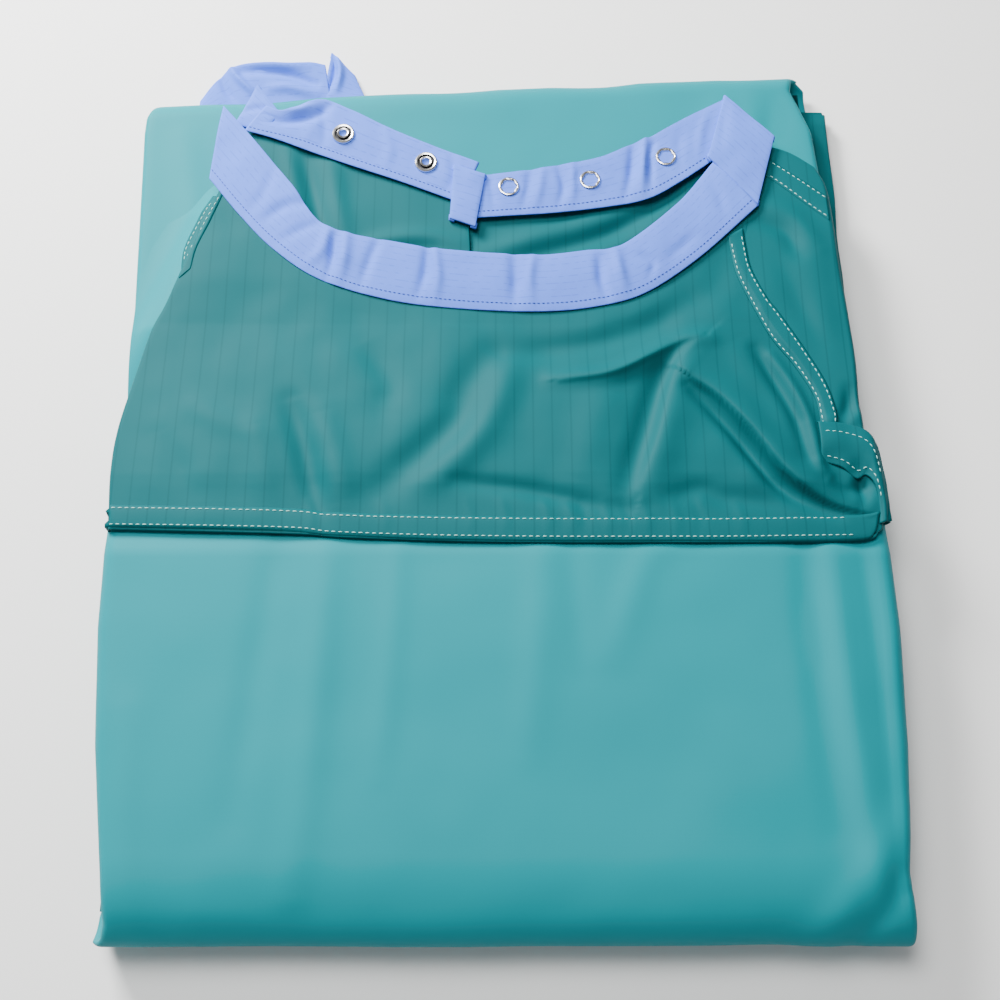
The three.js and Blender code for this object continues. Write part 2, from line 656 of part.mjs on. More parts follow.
function addSeams() {
  const low = coverEdges.strip;
  const high = low + SEAM_LOFT;
  const half = RAGLAN_WIDTH / 2;
  const right = ribbon(raglanLine, -half, half, raglanSteps);
  const belowBand = [
    point(-BEYOND, -BEYOND),
    point(BEYOND, -BEYOND),
    point(BEYOND, neckEnd.y - CLEARANCE),
    point(neckEnd.x, neckEnd.y - CLEARANCE),
    ...neckline.getSpacedPoints(neckSteps).reverse().slice(1),
    point(-BEYOND, neckFrontY),
  ];
  const strip = onChest(right, low, high).intersect(plate(belowBand, 0, BEYOND));
  add('right_raglan_seam', strip, yokeCloth);

  const back = new THREE.LineCurve(
    point(neckEnd.x + 15, neckEnd.y + 30),
    point(shoulder.rightPoint.x - 1, neckEnd.y + 6),
  );
  add('right_shoulder_seam', onChest(ribbon(back, -half, half, 2), low, high), yokeCloth);

  const side = new THREE.SplineCurve([
    point(halfWidth - ARMPIT_INSET - 3, armpitY - 10),
    point(halfWidth - 15, armpitY - 13),
    point(halfWidth - half - 1, armpitY - 26),
    point(halfWidth - half, yokeSeamY + SEAM_WIDTH + CLEARANCE + 3),
  ]);
  add('right_side_seam', onChest(ribbon(side, -half, half, 8), low, high), yokeCloth);

  // On the left the chest is folded in, and the seam lies on the sleeve just outside the fold.
  const leftTop = sleeveFloor + SLEEVE_AT_NECK;
  const left = [
    besideYoke(0.05, CLEARANCE),
    besideYoke(0.05, SLEEVE_EDGE - 1),
    besideYoke(0.6, SLEEVE_EDGE - 1),
    besideYoke(0.6, CLEARANCE),
  ];
  add('left_raglan_seam', plateGeometry(left, above(leftTop), above(leftTop) + SEAM_LOFT), yokeCloth);
}

// ---- Waist ties ----

// Two tape ends, bunched up on the table behind the rear fold.
function addTies() {
  const near = -CLEARANCE; // just under the fold's overhang
  const left = [point(-183, near), point(-105, near), point(-110, TIE_REACH + 2), point(-162, TIE_REACH)];
  const right = [point(-105 + CLEARANCE, near), point(-72, near), point(-92, TIE_REACH - 1)];
  for (const [name, outline] of [['waist_tie_left', left], ['waist_tie_right', right]]) {
    add(name, plateGeometry(outline, 0, TIE_LOFT).applyMatrix4(rearFrame), bandCloth);
  }
}

addMiddle();
addHem();
addFrontPanel();
addYoke();
addSleeves();
addBackPanels();
addNeckband();
addSeams();
addTies();

// The part's origin is the middle of the bundle's underside.
const box = new THREE.Box3().setFromObject(gown);
const middle = box.getCenter(new THREE.Vector3());
gown.position.set(-middle.x, -middle.y, -box.min.z);

export default gown;
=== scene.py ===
# A reusable surgical gown, folded flat into a bundle with its front upwards and its neckband open.
# Cloth is drawn in millimetres and made in metres. Left and right are as seen from the front fold.
import json
import math

import bpy
import numpy as np
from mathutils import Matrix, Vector, noise


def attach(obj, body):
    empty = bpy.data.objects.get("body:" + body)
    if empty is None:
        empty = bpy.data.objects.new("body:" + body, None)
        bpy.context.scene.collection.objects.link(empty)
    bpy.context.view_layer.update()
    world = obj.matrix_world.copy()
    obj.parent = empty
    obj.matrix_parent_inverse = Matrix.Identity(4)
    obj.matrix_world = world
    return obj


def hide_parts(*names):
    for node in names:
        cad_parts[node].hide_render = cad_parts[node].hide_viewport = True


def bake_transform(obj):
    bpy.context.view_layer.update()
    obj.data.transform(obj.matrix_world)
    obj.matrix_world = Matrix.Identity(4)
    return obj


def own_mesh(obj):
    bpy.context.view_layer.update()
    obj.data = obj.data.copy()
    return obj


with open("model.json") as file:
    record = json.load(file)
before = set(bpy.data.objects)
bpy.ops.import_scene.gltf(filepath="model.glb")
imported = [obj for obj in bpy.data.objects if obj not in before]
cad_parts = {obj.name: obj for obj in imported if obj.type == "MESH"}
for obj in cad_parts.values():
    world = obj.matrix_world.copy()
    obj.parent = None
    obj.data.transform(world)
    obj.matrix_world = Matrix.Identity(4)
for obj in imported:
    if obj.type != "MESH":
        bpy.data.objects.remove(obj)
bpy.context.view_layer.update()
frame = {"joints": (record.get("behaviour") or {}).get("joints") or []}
scene = bpy.context.scene
bpy.ops.object.select_all(action="DESELECT")

# ---- View and light ----
# A hand-held view from above the front fold, tipped a little towards the neck, and large soft lamps.

camera_data = bpy.data.cameras.new("camera")
camera_data.lens = 43.2
camera = bpy.data.objects.new("camera", camera_data)
camera.location = (0.00235, -0.2330, 0.636)
camera.rotation_euler = (math.radians(18), 0, 0)
scene.collection.objects.link(camera)
scene.camera = camera


def lamp(name, place, aim, size, power):
    """A large soft lamp."""
    data = bpy.data.lights.new(name, "AREA")
    data.shape = "SQUARE"
    data.size = size
    data.energy = power
    made = bpy.data.objects.new(name, data)
    made.location = place
    made.rotation_euler = (Vector(aim) - Vector(place)).to_track_quat("-Z", "Y").to_euler()
    scene.collection.objects.link(made)


lamp("key_light", (-0.70, 0.90, 0.72), (-0.05, 0.0, 0.02), 0.45, 48)
lamp("top_light", (-0.35, 0.45, 1.5), (-0.05, 0.05, 0), 0.7, 27)
lamp("front_light", (0.1, -1.3, 1.2), (0, 0, 0), 0.8, 1)

world = bpy.data.worlds.new("studio")
scene.world = world
world.use_nodes = True
world.node_tree.nodes["Background"].inputs["Color"].default_value = (0.93, 0.96, 1, 1)
world.node_tree.nodes["Background"].inputs["Strength"].default_value = 0.27

# ---- Table ----
# A plain pale table top, matt laminate. It isn't part of the gown.


def linear(hex_colour):
    """A colour written as sRGB hex, as Blender's linear red, green, blue and alpha."""
    parts = [int(hex_colour[i:i + 2], 16) / 255 for i in (1, 3, 5)]
    return [p / 12.92 if p <= 0.04045 else ((p + 0.055) / 1.055) ** 2.4 for p in parts] + [1.0]


def add_node(tree, kind, settings=(), links=()):
    """One shader node with its settings and what is linked into it."""
    made = tree.nodes.new(kind)
    for name, value in dict(settings).items():
        if hasattr(made, str(name)):
            setattr(made, name, value)
        else:
            made.inputs[name].default_value = value
    for name, source in dict(links).items():
        tree.links.new(source, made.inputs[name])
    return made


def new_material(name, settings):
    """A material, its node tree and its shader, whose settings are the same all over the surface."""
    material = bpy.data.materials.new(name)
    material.use_nodes = True
    shader = material.node_tree.nodes["Principled BSDF"]
    for socket, value in settings.items():
        shader.inputs[socket].default_value = value
    return material, material.node_tree, shader


# Melamine laminate, pressed matt: an even near-white that mirrors nothing.
table_top = new_material("matt_white_laminate", {"Base Color": linear("#f7f7f5"), "Roughness": 0.75})[0]
bpy.ops.mesh.primitive_plane_add(size=8, location=(0, 0, 0))
table = bpy.context.object
table.name = "table"
table.data.materials.append(table_top)
bpy.ops.object.select_all(action="DESELECT")

# ---- Front panel: chest and middle ----
# The gown's large front panel, smooth barrier polyester. It lies on the table, turns up and back at the
# front fold and ends under the yoke. Its long sides are turned under.


def smooth_line(points, count):
    """Evenly spaced points on a smooth curve through a few given ones."""
    p = np.array(points, float)
    padded = np.vstack([2 * p[0] - p[1], p, 2 * p[-1] - p[-2]])
    dense = []
    for i in range(len(p) - 1):
        a, b, c, d = padded[i:i + 4]
        t = np.linspace(0, 1, 20, endpoint=False)[:, None]
        bend, twist = 2 * a - 5 * b + 4 * c - d, 3 * b - a - 3 * c + d
        dense.append(0.5 * (2 * b + (c - a) * t + bend * t**2 + twist * t**3))
    dense = np.vstack(dense + [p[-1:]])
    length = np.r_[0, np.cumsum(np.linalg.norm(np.diff(dense, axis=0), axis=1))]
    at = np.linspace(0, length[-1], count)
    return np.column_stack([np.interp(at, length, dense[:, k]) for k in range(p.shape[1])])


def fold(plan, path, width, height, ends=0.5, steep=None):
    """Height that one soft fold along a path adds to each plan point. A negative height is a hollow. steep is
    the width on the path's right-hand side, where that side is sharper."""
    line = smooth_line(path, 36)
    flat = plan.reshape(-1, 2)
    a, along = line[:-1], np.diff(line, axis=0)
    share = np.clip(((flat[:, None] - a) * along).sum(2) / (along**2).sum(1), 0, 1)
    gap = np.linalg.norm(flat[:, None] - (a + share[..., None] * along), axis=2)
    best = gap.argmin(1)
    row = np.arange(len(flat))
    place = (best + share[row, best]) / len(along)
    fade = np.clip(np.sin(np.pi * (0.06 + 0.88 * place)), 0, 1) ** ends
    if steep:
        aim, reach = along[best], flat - a[best]
        width = np.where(aim[:, 0] * reach[:, 1] - aim[:, 1] * reach[:, 0] < 0, steep, width)
    return (height * fade * np.exp(-(gap[row, best] / width) ** 2)).reshape(plan.shape[:-1])


def add_folds(plan, height, folds):
    """The height with several folds added, each given as what fold takes after its plan."""
    for path, *shape in folds:
        height = height + fold(plan, path, *shape)
    return height


def unevenness(plan, size, height, seed):
    """Soft irregular waves, about as long as the given size."""
    flat = plan.reshape(-1, 2) / size
    waves = [noise.noise(Vector((x, y, seed))) for x, y in flat]
    return height * np.array(waves).reshape(plan.shape[:-1])


def turn_under(surface, cut, inward, side, radius, depth, reach):
    """Adds a rolled edge and a hem turned back under it to a grid of cloth points, at its first or last
    column. cut is each point's place on the flat cloth, and inward each row's direction into the bundle."""
    first = side == "first"
    at, near = (0, 2) if first else (-1, -3)
    edge, inner = surface[:, at], surface[:, near]
    flat_edge, flat_inner = cut[:, at], cut[:, near]
    out = edge - inner
    out = out - (out * inward).sum(1)[:, None] * inward
    out = out / np.linalg.norm(out, axis=1)[:, None]
    flat_out = flat_edge - flat_inner
    flat_out = flat_out / np.linalg.norm(flat_out, axis=1)[:, None]
    depth = np.broadcast_to(depth, len(surface))[:, None]
    radius = np.broadcast_to(radius, len(surface))[:, None]
    points, flats, gone = [], [], 0
    for angle in np.linspace(0, math.pi, 9)[1:]:
        points.append(edge + out * radius * math.sin(angle) + inward * depth / 2 * (1 - math.cos(angle)))
        gone = depth / 2 * angle
        flats.append(flat_edge + flat_out * gone)
    for share in (0.25, 0.6, 1):
        points.append(edge - out * reach * share + inward * depth)
        flats.append(flat_edge + flat_out * (gone + reach * share))
    if first:
        points.reverse()
        flats.reverse()
    more, more_cut = np.stack(points, 1), np.stack(flats, 1)
    parts = [(more, surface), (more_cut, cut)] if first else [(surface, more), (cut, more_cut)]
    return np.concatenate(parts[0], 1), np.concatenate(parts[1], 1)


def cloth(name, surface, cut, finish, thickness=0.8):
    """A thin cloth from a grid of points in mm, outer face up. Its finish is a material and the record's slot
    for it, which is not used, and its UV map is the flat cloth, in metres."""
    material, slot = finish
    rows, columns = surface.shape[:2]
    index = np.arange(rows * columns).reshape(rows, columns)
    quads = np.stack([index[:-1, :-1], index[:-1, 1:], index[1:, 1:], index[1:, :-1]], -1).reshape(-1, 4)
    mesh = bpy.data.meshes.new(name)
    mesh.from_pydata((surface.reshape(-1, 3) / 1000).tolist(), [], quads.tolist())
    uv = mesh.uv_layers.new(name="cut_cloth")
    uv.data.foreach_set("uv", (cut.reshape(-1, 2)[quads.reshape(-1)] / 1000).astype(np.float32).reshape(-1))
    piece = bpy.data.objects.new(name, mesh)
    scene.collection.objects.link(piece)
    mesh.materials.append(material)
    solidify = piece.modifiers.new("thickness", "SOLIDIFY")
    solidify.thickness = thickness / 1000
    solidify.offset = -1
    bpy.context.view_layer.objects.active = piece
    bpy.ops.object.modifier_apply(modifier=solidify.name)
    piece.data.polygons.foreach_set("use_smooth", [True] * len(piece.data.polygons))
    return piece


# The real yarns lie about 0.2 mm apart, too fine to show, so the weave is drawn coarser, at 0.6 mm.
WEAVE = 0.0006
WAVE_PERIOD = 0.314  # between the bands of a wave texture at scale 1, in metres


def woven(name, colour, low_colour, roughness, relief):
    """A woven cloth's material: crossed yarns in relief with loose fibres about 1 mm long, and dye that is
    a little deeper in patches some 70 mm across."""
    material, tree, shader = new_material(name, {"Roughness": roughness, "Specular IOR Level": 0.1})
    uv = add_node(tree, "ShaderNodeUVMap", {"uv_map": "cut_cloth"}).outputs["UV"]
    warp, weft = [
        add_node(
            tree, "ShaderNodeTexWave",
            {"wave_type": "BANDS", "bands_direction": direction, "Scale": WAVE_PERIOD / WEAVE,
             "Distortion": 1.2, "Detail": 1.0, "Detail Scale": 0.6},
            {"Vector": uv},
        ).outputs["Fac"]
        for direction in ("X", "Y")
    ]
    crossed = add_node(tree, "ShaderNodeMath", {"operation": "MAXIMUM"}, {0: warp, 1: weft})
    patches = add_node(tree, "ShaderNodeTexNoise", {"Scale": 14.0, "Detail": 3.0}, {"Vector": uv})
    fibres = add_node(tree, "ShaderNodeTexNoise", {"Scale": 900.0, "Detail": 2.0}, {"Vector": uv})
    colours = add_node(
        tree, "ShaderNodeMix", {"data_type": "RGBA", 6: linear(low_colour), 7: linear(colour)},
        {0: patches.outputs["Fac"]},
    )
    height = add_node(
        tree, "ShaderNodeMath", {"operation": "ADD"}, {0: crossed.outputs[0], 1: fibres.outputs["Fac"]},
    )
    bump = add_node(
        tree, "ShaderNodeBump", {"Strength": relief, "Distance": 0.0003}, {"Height": height.outputs[0]},
    )
    tree.links.new(colours.outputs[2], shader.inputs["Base Color"])
    tree.links.new(bump.outputs["Normal"], shader.inputs["Normal"])
    return material, tree, shader, uv, colours


# Laminated filament polyester, calendered smooth: a soft satin sheen over an even light teal.
barrier = (woven("calendered_barrier_polyester", "#00858d", "#007f88", 0.55, 0.08)[0], "barrier_cloth")

TABLE_GAP = 0.1
PLY = 3.0  # depth of its turned-under side where it lies on the table
YOKE_END = -46.0  # where the panel ends, under the yoke
CHEST_TOP = 41.7
UNDER_YOKE = 2.4  # how much lower the panel lies under the yoke's seam


def joint_place(name):
    """The point in mm that a fold turns about."""
    return next(np.array(joint["pos_m"]) * 1000 for joint in frame["joints"] if joint["name"] == name)


def folded_run(start, end, top, fold_place, reaches, steps, depths, ease=1.0):
    """The panel's run from one end on top, round its soft fold and back along the table, as rows of y, z, the
    direction into the bundle and the depth of its turned-under side. The fold reaches a different distance
    past its centre above and below. depths are at the top, at the fold and under it."""
    fold_y, fold_z = fold_place
    top_ys = np.linspace(start, fold_y - reaches[0], steps[0], endpoint=False)
    stations = [(y, top, 0, -1, depths[0]) for y in top_ys]
    for reach, count, upper in [(reaches[0], steps[1], True), (reaches[1], steps[2], False)]:
        rise = top - fold_z if upper else fold_z
        for angle in np.linspace(0, math.pi / 2, count, endpoint=False):
            out, up = (math.sin(angle), math.cos(angle)) if upper else (math.cos(angle), -math.sin(angle))
            z = fold_z + up * (rise if upper else rise - TABLE_GAP)
            inward = np.array([-out / reach, -up / rise])
            inward = inward / np.linalg.norm(inward)
            depth = depths[0] + (depths[1] - depths[0]) * out**ease if upper else depths[2]
            stations.append((fold_y - reach + reach * out, z, *inward, depth))
    table_ys = np.linspace(fold_y - reaches[1], end, steps[3])
    return np.array(stations + [(y, TABLE_GAP, 0, 1, PLY) for y in table_ys])


def panel_grid(stations, left_at, right_at, columns):
    """The panel's points, their places on the flat cloth and each row's distance along it. Its two sides are
    given as (distance along it, x)."""
    run = np.r_[0, np.cumsum(np.hypot(np.diff(stations[:, 0]), np.diff(stations[:, 1])))]
    left, right = (np.interp(run, *np.array(side).T) for side in (left_at, right_at))
    across = left[:, None] + (right - left)[:, None] * np.linspace(0, 1, columns)
    surface = np.stack(np.broadcast_arrays(across, stations[:, 0, None], stations[:, 1, None]), -1)
    return surface, np.stack(np.broadcast_arrays(across, -run[:, None]), -1), run


steps = (62, 30, 16, 40)  # rows on top, in the roll's upper and lower quarters, and on the table
_, *front_fold = joint_place("front_fold")
stations = folded_run(
    YOKE_END, 140, CHEST_TOP, front_fold, reaches=(-42, -28), steps=steps, depths=(16.3, 3.5, 3.3), ease=1.5,
)
surface, cut, run = panel_grid(
    stations,
    [(0, -196), (60, -195), (120, -190), (150, -187), (180, -184), (204, -182.5), (214, -185), (226, -192),
     (245, -193.5), (262, -192), (420, -192), (640, -193)],
    [(0, 197), (60, 198.5), (110, 197), (150, 195.5), (180, 194), (205, 197), (225, 198.5), (245, 194),
     (262, 196), (640, 196)],
    130,
)
fold_run = run[steps[0] + steps[1]]
plan = cut + np.array([0, YOKE_END])
lift = add_folds(plan, np.zeros(plan.shape[:2]), [
    ([(-86, -52), (-88, -110), (-92, -190), (-97, -235)], 10, 2.4),
    ([(-110, -52), (-118, -120), (-126, -200)], 9, -1.6),
    ([(-50, -55), (-52, -120), (-57, -180)], 7, 1.1),
    ([(24, -55), (22, -110), (16, -170)], 9, 1.2),
    ([(38, -55), (40, -90), (43, -130)], 7, -0.9),
    ([(96, -52), (76, -75), (60, -120)], 9, 1.4),
    ([(172, -46), (174, -120), (180, -215), (186, -250)], 7, 2.6),
    ([(159, -50), (160, -120), (165, -205)], 8, -2.0),
    ([(188, -48), (192, -130), (194, -230)], 5, -1.8),
    ([(196, -200), (176, -228), (150, -262)], 9, 2.2),
    ([(198, -222), (184, -246), (168, -270)], 6, -2.0),
    ([(-182, -150), (-178, -210), (-170, -255)], 9, 1.5),
    ([(-140, -245), (-60, -256), (40, -252), (120, -250)], 10, 0.9),
])
lift += unevenness(plan, 70, 1.6, 3.1) + unevenness(plan, 26, 0.35, 8.4)
# It is crowned across its middle, lies flatter near the seam that holds it, and dips under the yoke.
across = cut[..., 0]
crown = 2.2 * np.clip(1 - (across / 205) ** 2, 0, 1) * np.clip(1 - run / (fold_run + 10), 0, 1)[:, None]
on_top = np.clip((fold_run + 18 - run) / 40, 0, 1)[:, None]
seam_hold = np.clip(run / 26, 0.25, 1)[:, None]
lift = (np.maximum(0.8 * lift * seam_hold, -1.5) + crown) * on_top
lift -= UNDER_YOKE * np.clip((22 - run) / 12, 0, 1)[:, None]
inward = np.column_stack([np.zeros(len(stations)), stations[:, 2:4]])
surface -= inward[:, None] * lift[..., None]
# The fold's front isn't quite straight.
front_wave = 1.6 * np.sin(across / 61 + 0.6) + unevenness(plan, 90, 3.0, 5.5)
surface[..., 1] += np.clip(front_wave, 0, 4) * np.exp(-((run - fold_run) / 24) ** 2)[:, None]
radius = np.where(run < fold_run, 7.5 - 4.5 * np.clip((run - 120) / (fold_run - 120), 0, 1), 3.0)
for side in ("first", "last"):
    surface, cut = turn_under(surface, cut, inward, side, radius, stations[:, 4], 24)
front_panel = cloth("front_panel", surface[::-1], cut[::-1], barrier, 0.9)
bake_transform(front_panel)
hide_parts("front_panel_upper")

# ---- Front panel: hem and rear fold ----
# The same panel's other end. From the table it turns up at the rear fold and comes forward to its hem,
# which lies under the chest.

rear_fold = joint_place("rear_fold")
REAR_SLANT = math.radians(3.1)
HEM_TOP = 21.4
HEM_START = -228.0  # the hem's own edge, from the rear fold


def askew(surface):
    """Turns points given about the rear fold to lie along it, in the gown's own frame."""
    turned = surface.copy()
    c, s = math.cos(REAR_SLANT), math.sin(REAR_SLANT)
    turned[..., 0] = rear_fold[0] + surface[..., 0] * c - surface[..., 1] * s
    turned[..., 1] = rear_fold[1] + surface[..., 0] * s + surface[..., 1] * c
    return turned


steps = (70, 14, 12, 16)
stations = folded_run(
    HEM_START, -92, HEM_TOP, (0, rear_fold[2]), reaches=(14, 14), steps=steps, depths=(7.8, PLY, PLY),
)
surface, cut, run = panel_grid(
    stations,
    [(0, -214), (45, -213), (78, -212.5), (168, -211.6), (205, -211), (216, -210), (226, -207), (236, -202),
     (250, -197), (320, -193)],
    [(0, 183), (100, 183), (185, 181), (205, 175), (214, 172), (226, 174), (240, 186), (320, 190)],
    110,
)
rear_run = run[steps[0] + steps[1]]
plan = cut * np.array([1, -1]) + np.array([0, HEM_START])
lift = add_folds(plan, np.zeros(plan.shape[:2]), [
    ([(135, -20), (120, -45), (106, -80)], 8, 1.6),
    ([(150, -14), (148, -50), (152, -90)], 9, 1.4),
    ([(168, -22), (160, -46), (150, -60)], 6, -1.2),
    ([(-150, -10), (-40, -14), (40, -18)], 12, 0.8),
    ([(-190, -30), (-184, -80), (-182, -140)], 9, 1.3),
])
lift += unevenness(plan, 80, 1.2, 12.3) + unevenness(plan, 28, 0.3, 2.2)
lift = np.maximum(lift, -0.5) * np.clip((rear_run + 8 - run) / 30, 0, 1)[:, None]
inward = np.column_stack([np.zeros(len(stations)), stations[:, 2:4]])
surface -= inward[:, None] * lift[..., None]
rear_wave = np.clip(unevenness(plan, 60, 4.0, 7.7) + 0.8, 0, 4)
surface[..., 1] -= rear_wave * np.exp(-((run - rear_run) / 18) ** 2)[:, None]
radius = np.where(run < rear_run, 4.0, 2.2)
for side in ("first", "last"):
    surface, cut = turn_under(surface, cut, inward, side, radius, stations[:, 4], 20)
hem_panel = cloth("hem_panel", askew(surface), cut, barrier, 0.9)
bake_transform(hem_panel)
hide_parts("front_panel_hem", "front_panel_middle")

# ---- Back panels and other layers inside the bundle ----
# The two back panels, plain-woven yoke cloth, lie folded to and fro between the front panel's layers,
# with soft rolled sides. The wearer's left panel laps over the right one.


def add_stripes(tree, shader, uv, colours, pitch, width, share, colour, axis, dash=None):
    """Lays darker straight yarns over a cloth's colour, a pitch apart across the given axis of its UV map.
    share is how much of their colour shows, and dash how long their breaks are. Sizes are in metres."""
    parts = add_node(tree, "ShaderNodeSeparateXYZ", {}, {0: uv})
    turns = add_node(tree, "ShaderNodeMath", {"operation": "DIVIDE", 1: pitch}, {0: parts.outputs[axis]})
    saw = add_node(tree, "ShaderNodeMath", {"operation": "PINGPONG", 1: 0.5}, {0: turns.outputs[0]})
    line = add_node(
        tree, "ShaderNodeMapRange",
        {"From Min": width / pitch / 2, "From Max": width / pitch, "To Min": share, "To Max": 0.0},
        {"Value": saw.outputs[0]},
    )
    factor = line.outputs["Result"]
    if dash:
        speckle = add_node(tree, "ShaderNodeTexNoise", {"Scale": 1 / dash, "Detail": 1.0}, {"Vector": uv})
        breaks = add_node(
            tree, "ShaderNodeMapRange", {"From Min": 0.42, "From Max": 0.58},
            {"Value": speckle.outputs["Fac"]},
        )
        factor = add_node(
            tree, "ShaderNodeMath", {"operation": "MULTIPLY"}, {0: factor, 1: breaks.outputs["Result"]},
        ).outputs[0]
    mixed = add_node(
        tree, "ShaderNodeMix", {"data_type": "RGBA", 7: linear(colour)}, {0: factor, 6: colours.outputs[2]},
    )
    tree.links.new(mixed.outputs[2], shader.inputs["Base Color"])


# Filament polyester with black carbon yarns woven in every 10 mm: matt, deep teal, with faint fine stripes.
# A real carbon yarn is about 0.3 mm wide, and is drawn at 0.6 mm to show.
striped_polyester, tree, shader, uv, colours = woven(
    "carbon_striped_polyester", "#00595e", "#005257", 0.6, 0.1,
)
add_stripes(tree, shader, uv, colours, 0.010, 0.0006, 0.2, "#002c30", 0)
yoke_cloth = (striped_polyester, "yoke_cloth")


def zigzag(name, left, right, front, rear, levels, finish, seed, slanted=False):
    """One cloth folded to and fro across the bundle, one level above the other, with its sides rolled. A
    slanted one lies along the rear fold."""
    lines = np.linspace(front, rear, max(8, int((rear - front) / 8)))
    turn = (levels[1] - levels[0]) / 2
    path, flats, gone = [], [], 0.0
    for number, level in enumerate(levels):
        forwards = number % 2 == 0
        ends = (left, right) if forwards else (right, left)
        for x in np.linspace(*ends, 26):
            path.append((x, level, number))
            flats.append(gone + abs(x - ends[0]))
        gone = flats[-1]
        if number + 1 < len(levels):
            out = 1 if forwards else -1
            for angle in np.linspace(0, math.pi, 8)[1:-1]:
                x = ends[1] + out * turn * 1.3 * math.sin(angle)
                path.append((x, level + turn * (1 - math.cos(angle)), number))
                flats.append(gone + turn * angle)
            gone = flats[-1]
    path = np.array(path)
    surface = np.stack(np.broadcast_arrays(path[None, :, 0], lines[:, None], path[None, :, 1]), -1)
    middle, half = (left + right) / 2, (right - left) / 2
    for number in range(len(levels)):
        mine = path[:, 2] == number
        spread = np.array([noise.noise(Vector((y / 45, number * 1.7, seed))) for y in lines])
        surface[:, mine, 0] += 3.0 * spread[:, None] * ((path[mine, 0] - middle) / half)[None] ** 3
    surface[..., 2] += unevenness(surface[..., :2], 40, 0.35, seed)
    if slanted:
        surface = askew(surface)
    cut = np.stack(np.broadcast_arrays(np.array(flats)[None, :], lines[:, None]), -1)
    return cloth(name, surface, cut, finish)


for name, body, place, levels, flat in [
    ("right_back_panel_middle", "middle", (-189, 199, -240, 222), [4.6, 6.4], (0.79, 0.462)),
    ("left_back_panel_middle", "middle", (-189, 199, -240, -12), [8.4, 11.4, 14.4, 17.4, 20.4],
     (1.98, 0.228)),
    ("left_back_panel_middle_rear", "middle", (-191, 200, -8, 218), [8.2, 9.9], (0.79, 0.226)),
    ("left_back_panel_hem", "hem", (-198, 176, -227, -16), [11.9, 13.9], (0.75, 0.211)),
    ("right_back_panel_hem", "hem", (-197, 178, -227, -16), [15.6, 17.8], (0.75, 0.211)),
    ("right_back_panel_upper", "chest", (-96, 193, -243, 66), [23.2, 25.0], (0.58, 0.309)),
    ("left_side_tuck", "chest", (-190, -104, -243, 60), [23.2, 25.0], (0.175, 0.303)),
]:
    finish = barrier if name == "left_side_tuck" else yoke_cloth
    layer = zigzag(name + "_cloth", *place, levels, finish, 1.0 + len(name) * 0.7, slanted=body == "hem")
    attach(layer, body)
    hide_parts(name.replace("_rear", ""))

# The folded sleeves under the chest, and their rib-knitted cuffs.
# Rib-knitted polyester, softened by washing: matt white ridges along the arm, 2.2 mm apart.
rib_knit, tree, shader = new_material(
    "rib_knit_polyester", {"Base Color": linear("#eef0ee"), "Roughness": 0.9},
)
uv = add_node(tree, "ShaderNodeUVMap", {"uv_map": "cut_cloth"}).outputs["UV"]
ribs = add_node(
    tree, "ShaderNodeTexWave",
    {"wave_type": "BANDS", "bands_direction": "X", "Scale": WAVE_PERIOD / 0.0022, "Distortion": 0.4},
    {"Vector": uv},
)
bump = add_node(
    tree, "ShaderNodeBump", {"Strength": 0.6, "Distance": 0.0005}, {"Height": ribs.outputs["Fac"]},
)
tree.links.new(bump.outputs["Normal"], shader.inputs["Normal"])

for name, left, right, finish in [
    ("left_sleeve_folded", -190, -3, barrier),
    ("right_sleeve_folded", 6, 188, yoke_cloth),
]:
    sleeve = zigzag(name, left, right, -143, 30, [30.4, 33.2, 36.0], finish, 4.0 + right / 50)
    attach(sleeve, "chest")
for name, centre in [("left_cuff", -99.2), ("right_cuff", 103.8)]:
    place = (centre - 39, centre + 39, -208, -145)
    cuff = zigzag(name + "_rib", *place, [30.6, 34.6], (rib_knit, "cuff_knit"), 6.0)
    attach(cuff, "chest")
    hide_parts(name)

# ---- Yoke ----
# The chest yoke, plain-woven striped cloth, lapped over the front panel and folded in on the wearer's
# right. It carries the soft folds that gather at the armpit.


def patch(bottom, top, left, right, columns, rows):
    """A grid of plan points inside four border lines, each given by a few points."""
    b, t = smooth_line(bottom, columns), smooth_line(top, columns)
    l, r = smooth_line(left, rows), smooth_line(right, rows)
    u = np.linspace(0, 1, columns)[None, :, None]
    v = np.linspace(0, 1, rows)[:, None, None]
    sides = (1 - u) * l[:, None] + u * r[:, None]
    ends = (1 - v) * b[None] + v * t[None]
    corners = (1 - u) * (1 - v) * b[0] + u * (1 - v) * b[-1] + (1 - u) * v * t[0] + u * v * t[-1]
    return sides + ends - corners


def with_height(plan, height):
    """A grid of points from a plan and its heights."""
    return np.concatenate([plan, height[..., None]], -1)


def turn_side(surface, cut, side, radius, depth, reach):
    """Rolls a grid's first or last column under, straight down. Sizes are those of turn_under."""
    down = np.broadcast_to(np.array([0.0, 0.0, -1.0]), (len(surface), 3))
    return turn_under(surface, cut, down, side, radius, depth, reach)


def turn_end(surface, cut, side, radius, depth, reach):
    """Rolls a grid's first or last row under."""
    turned, flats = turn_side(surface.transpose(1, 0, 2), cut.transpose(1, 0, 2), side, radius, depth, reach)
    return turned.transpose(1, 0, 2), flats.transpose(1, 0, 2)


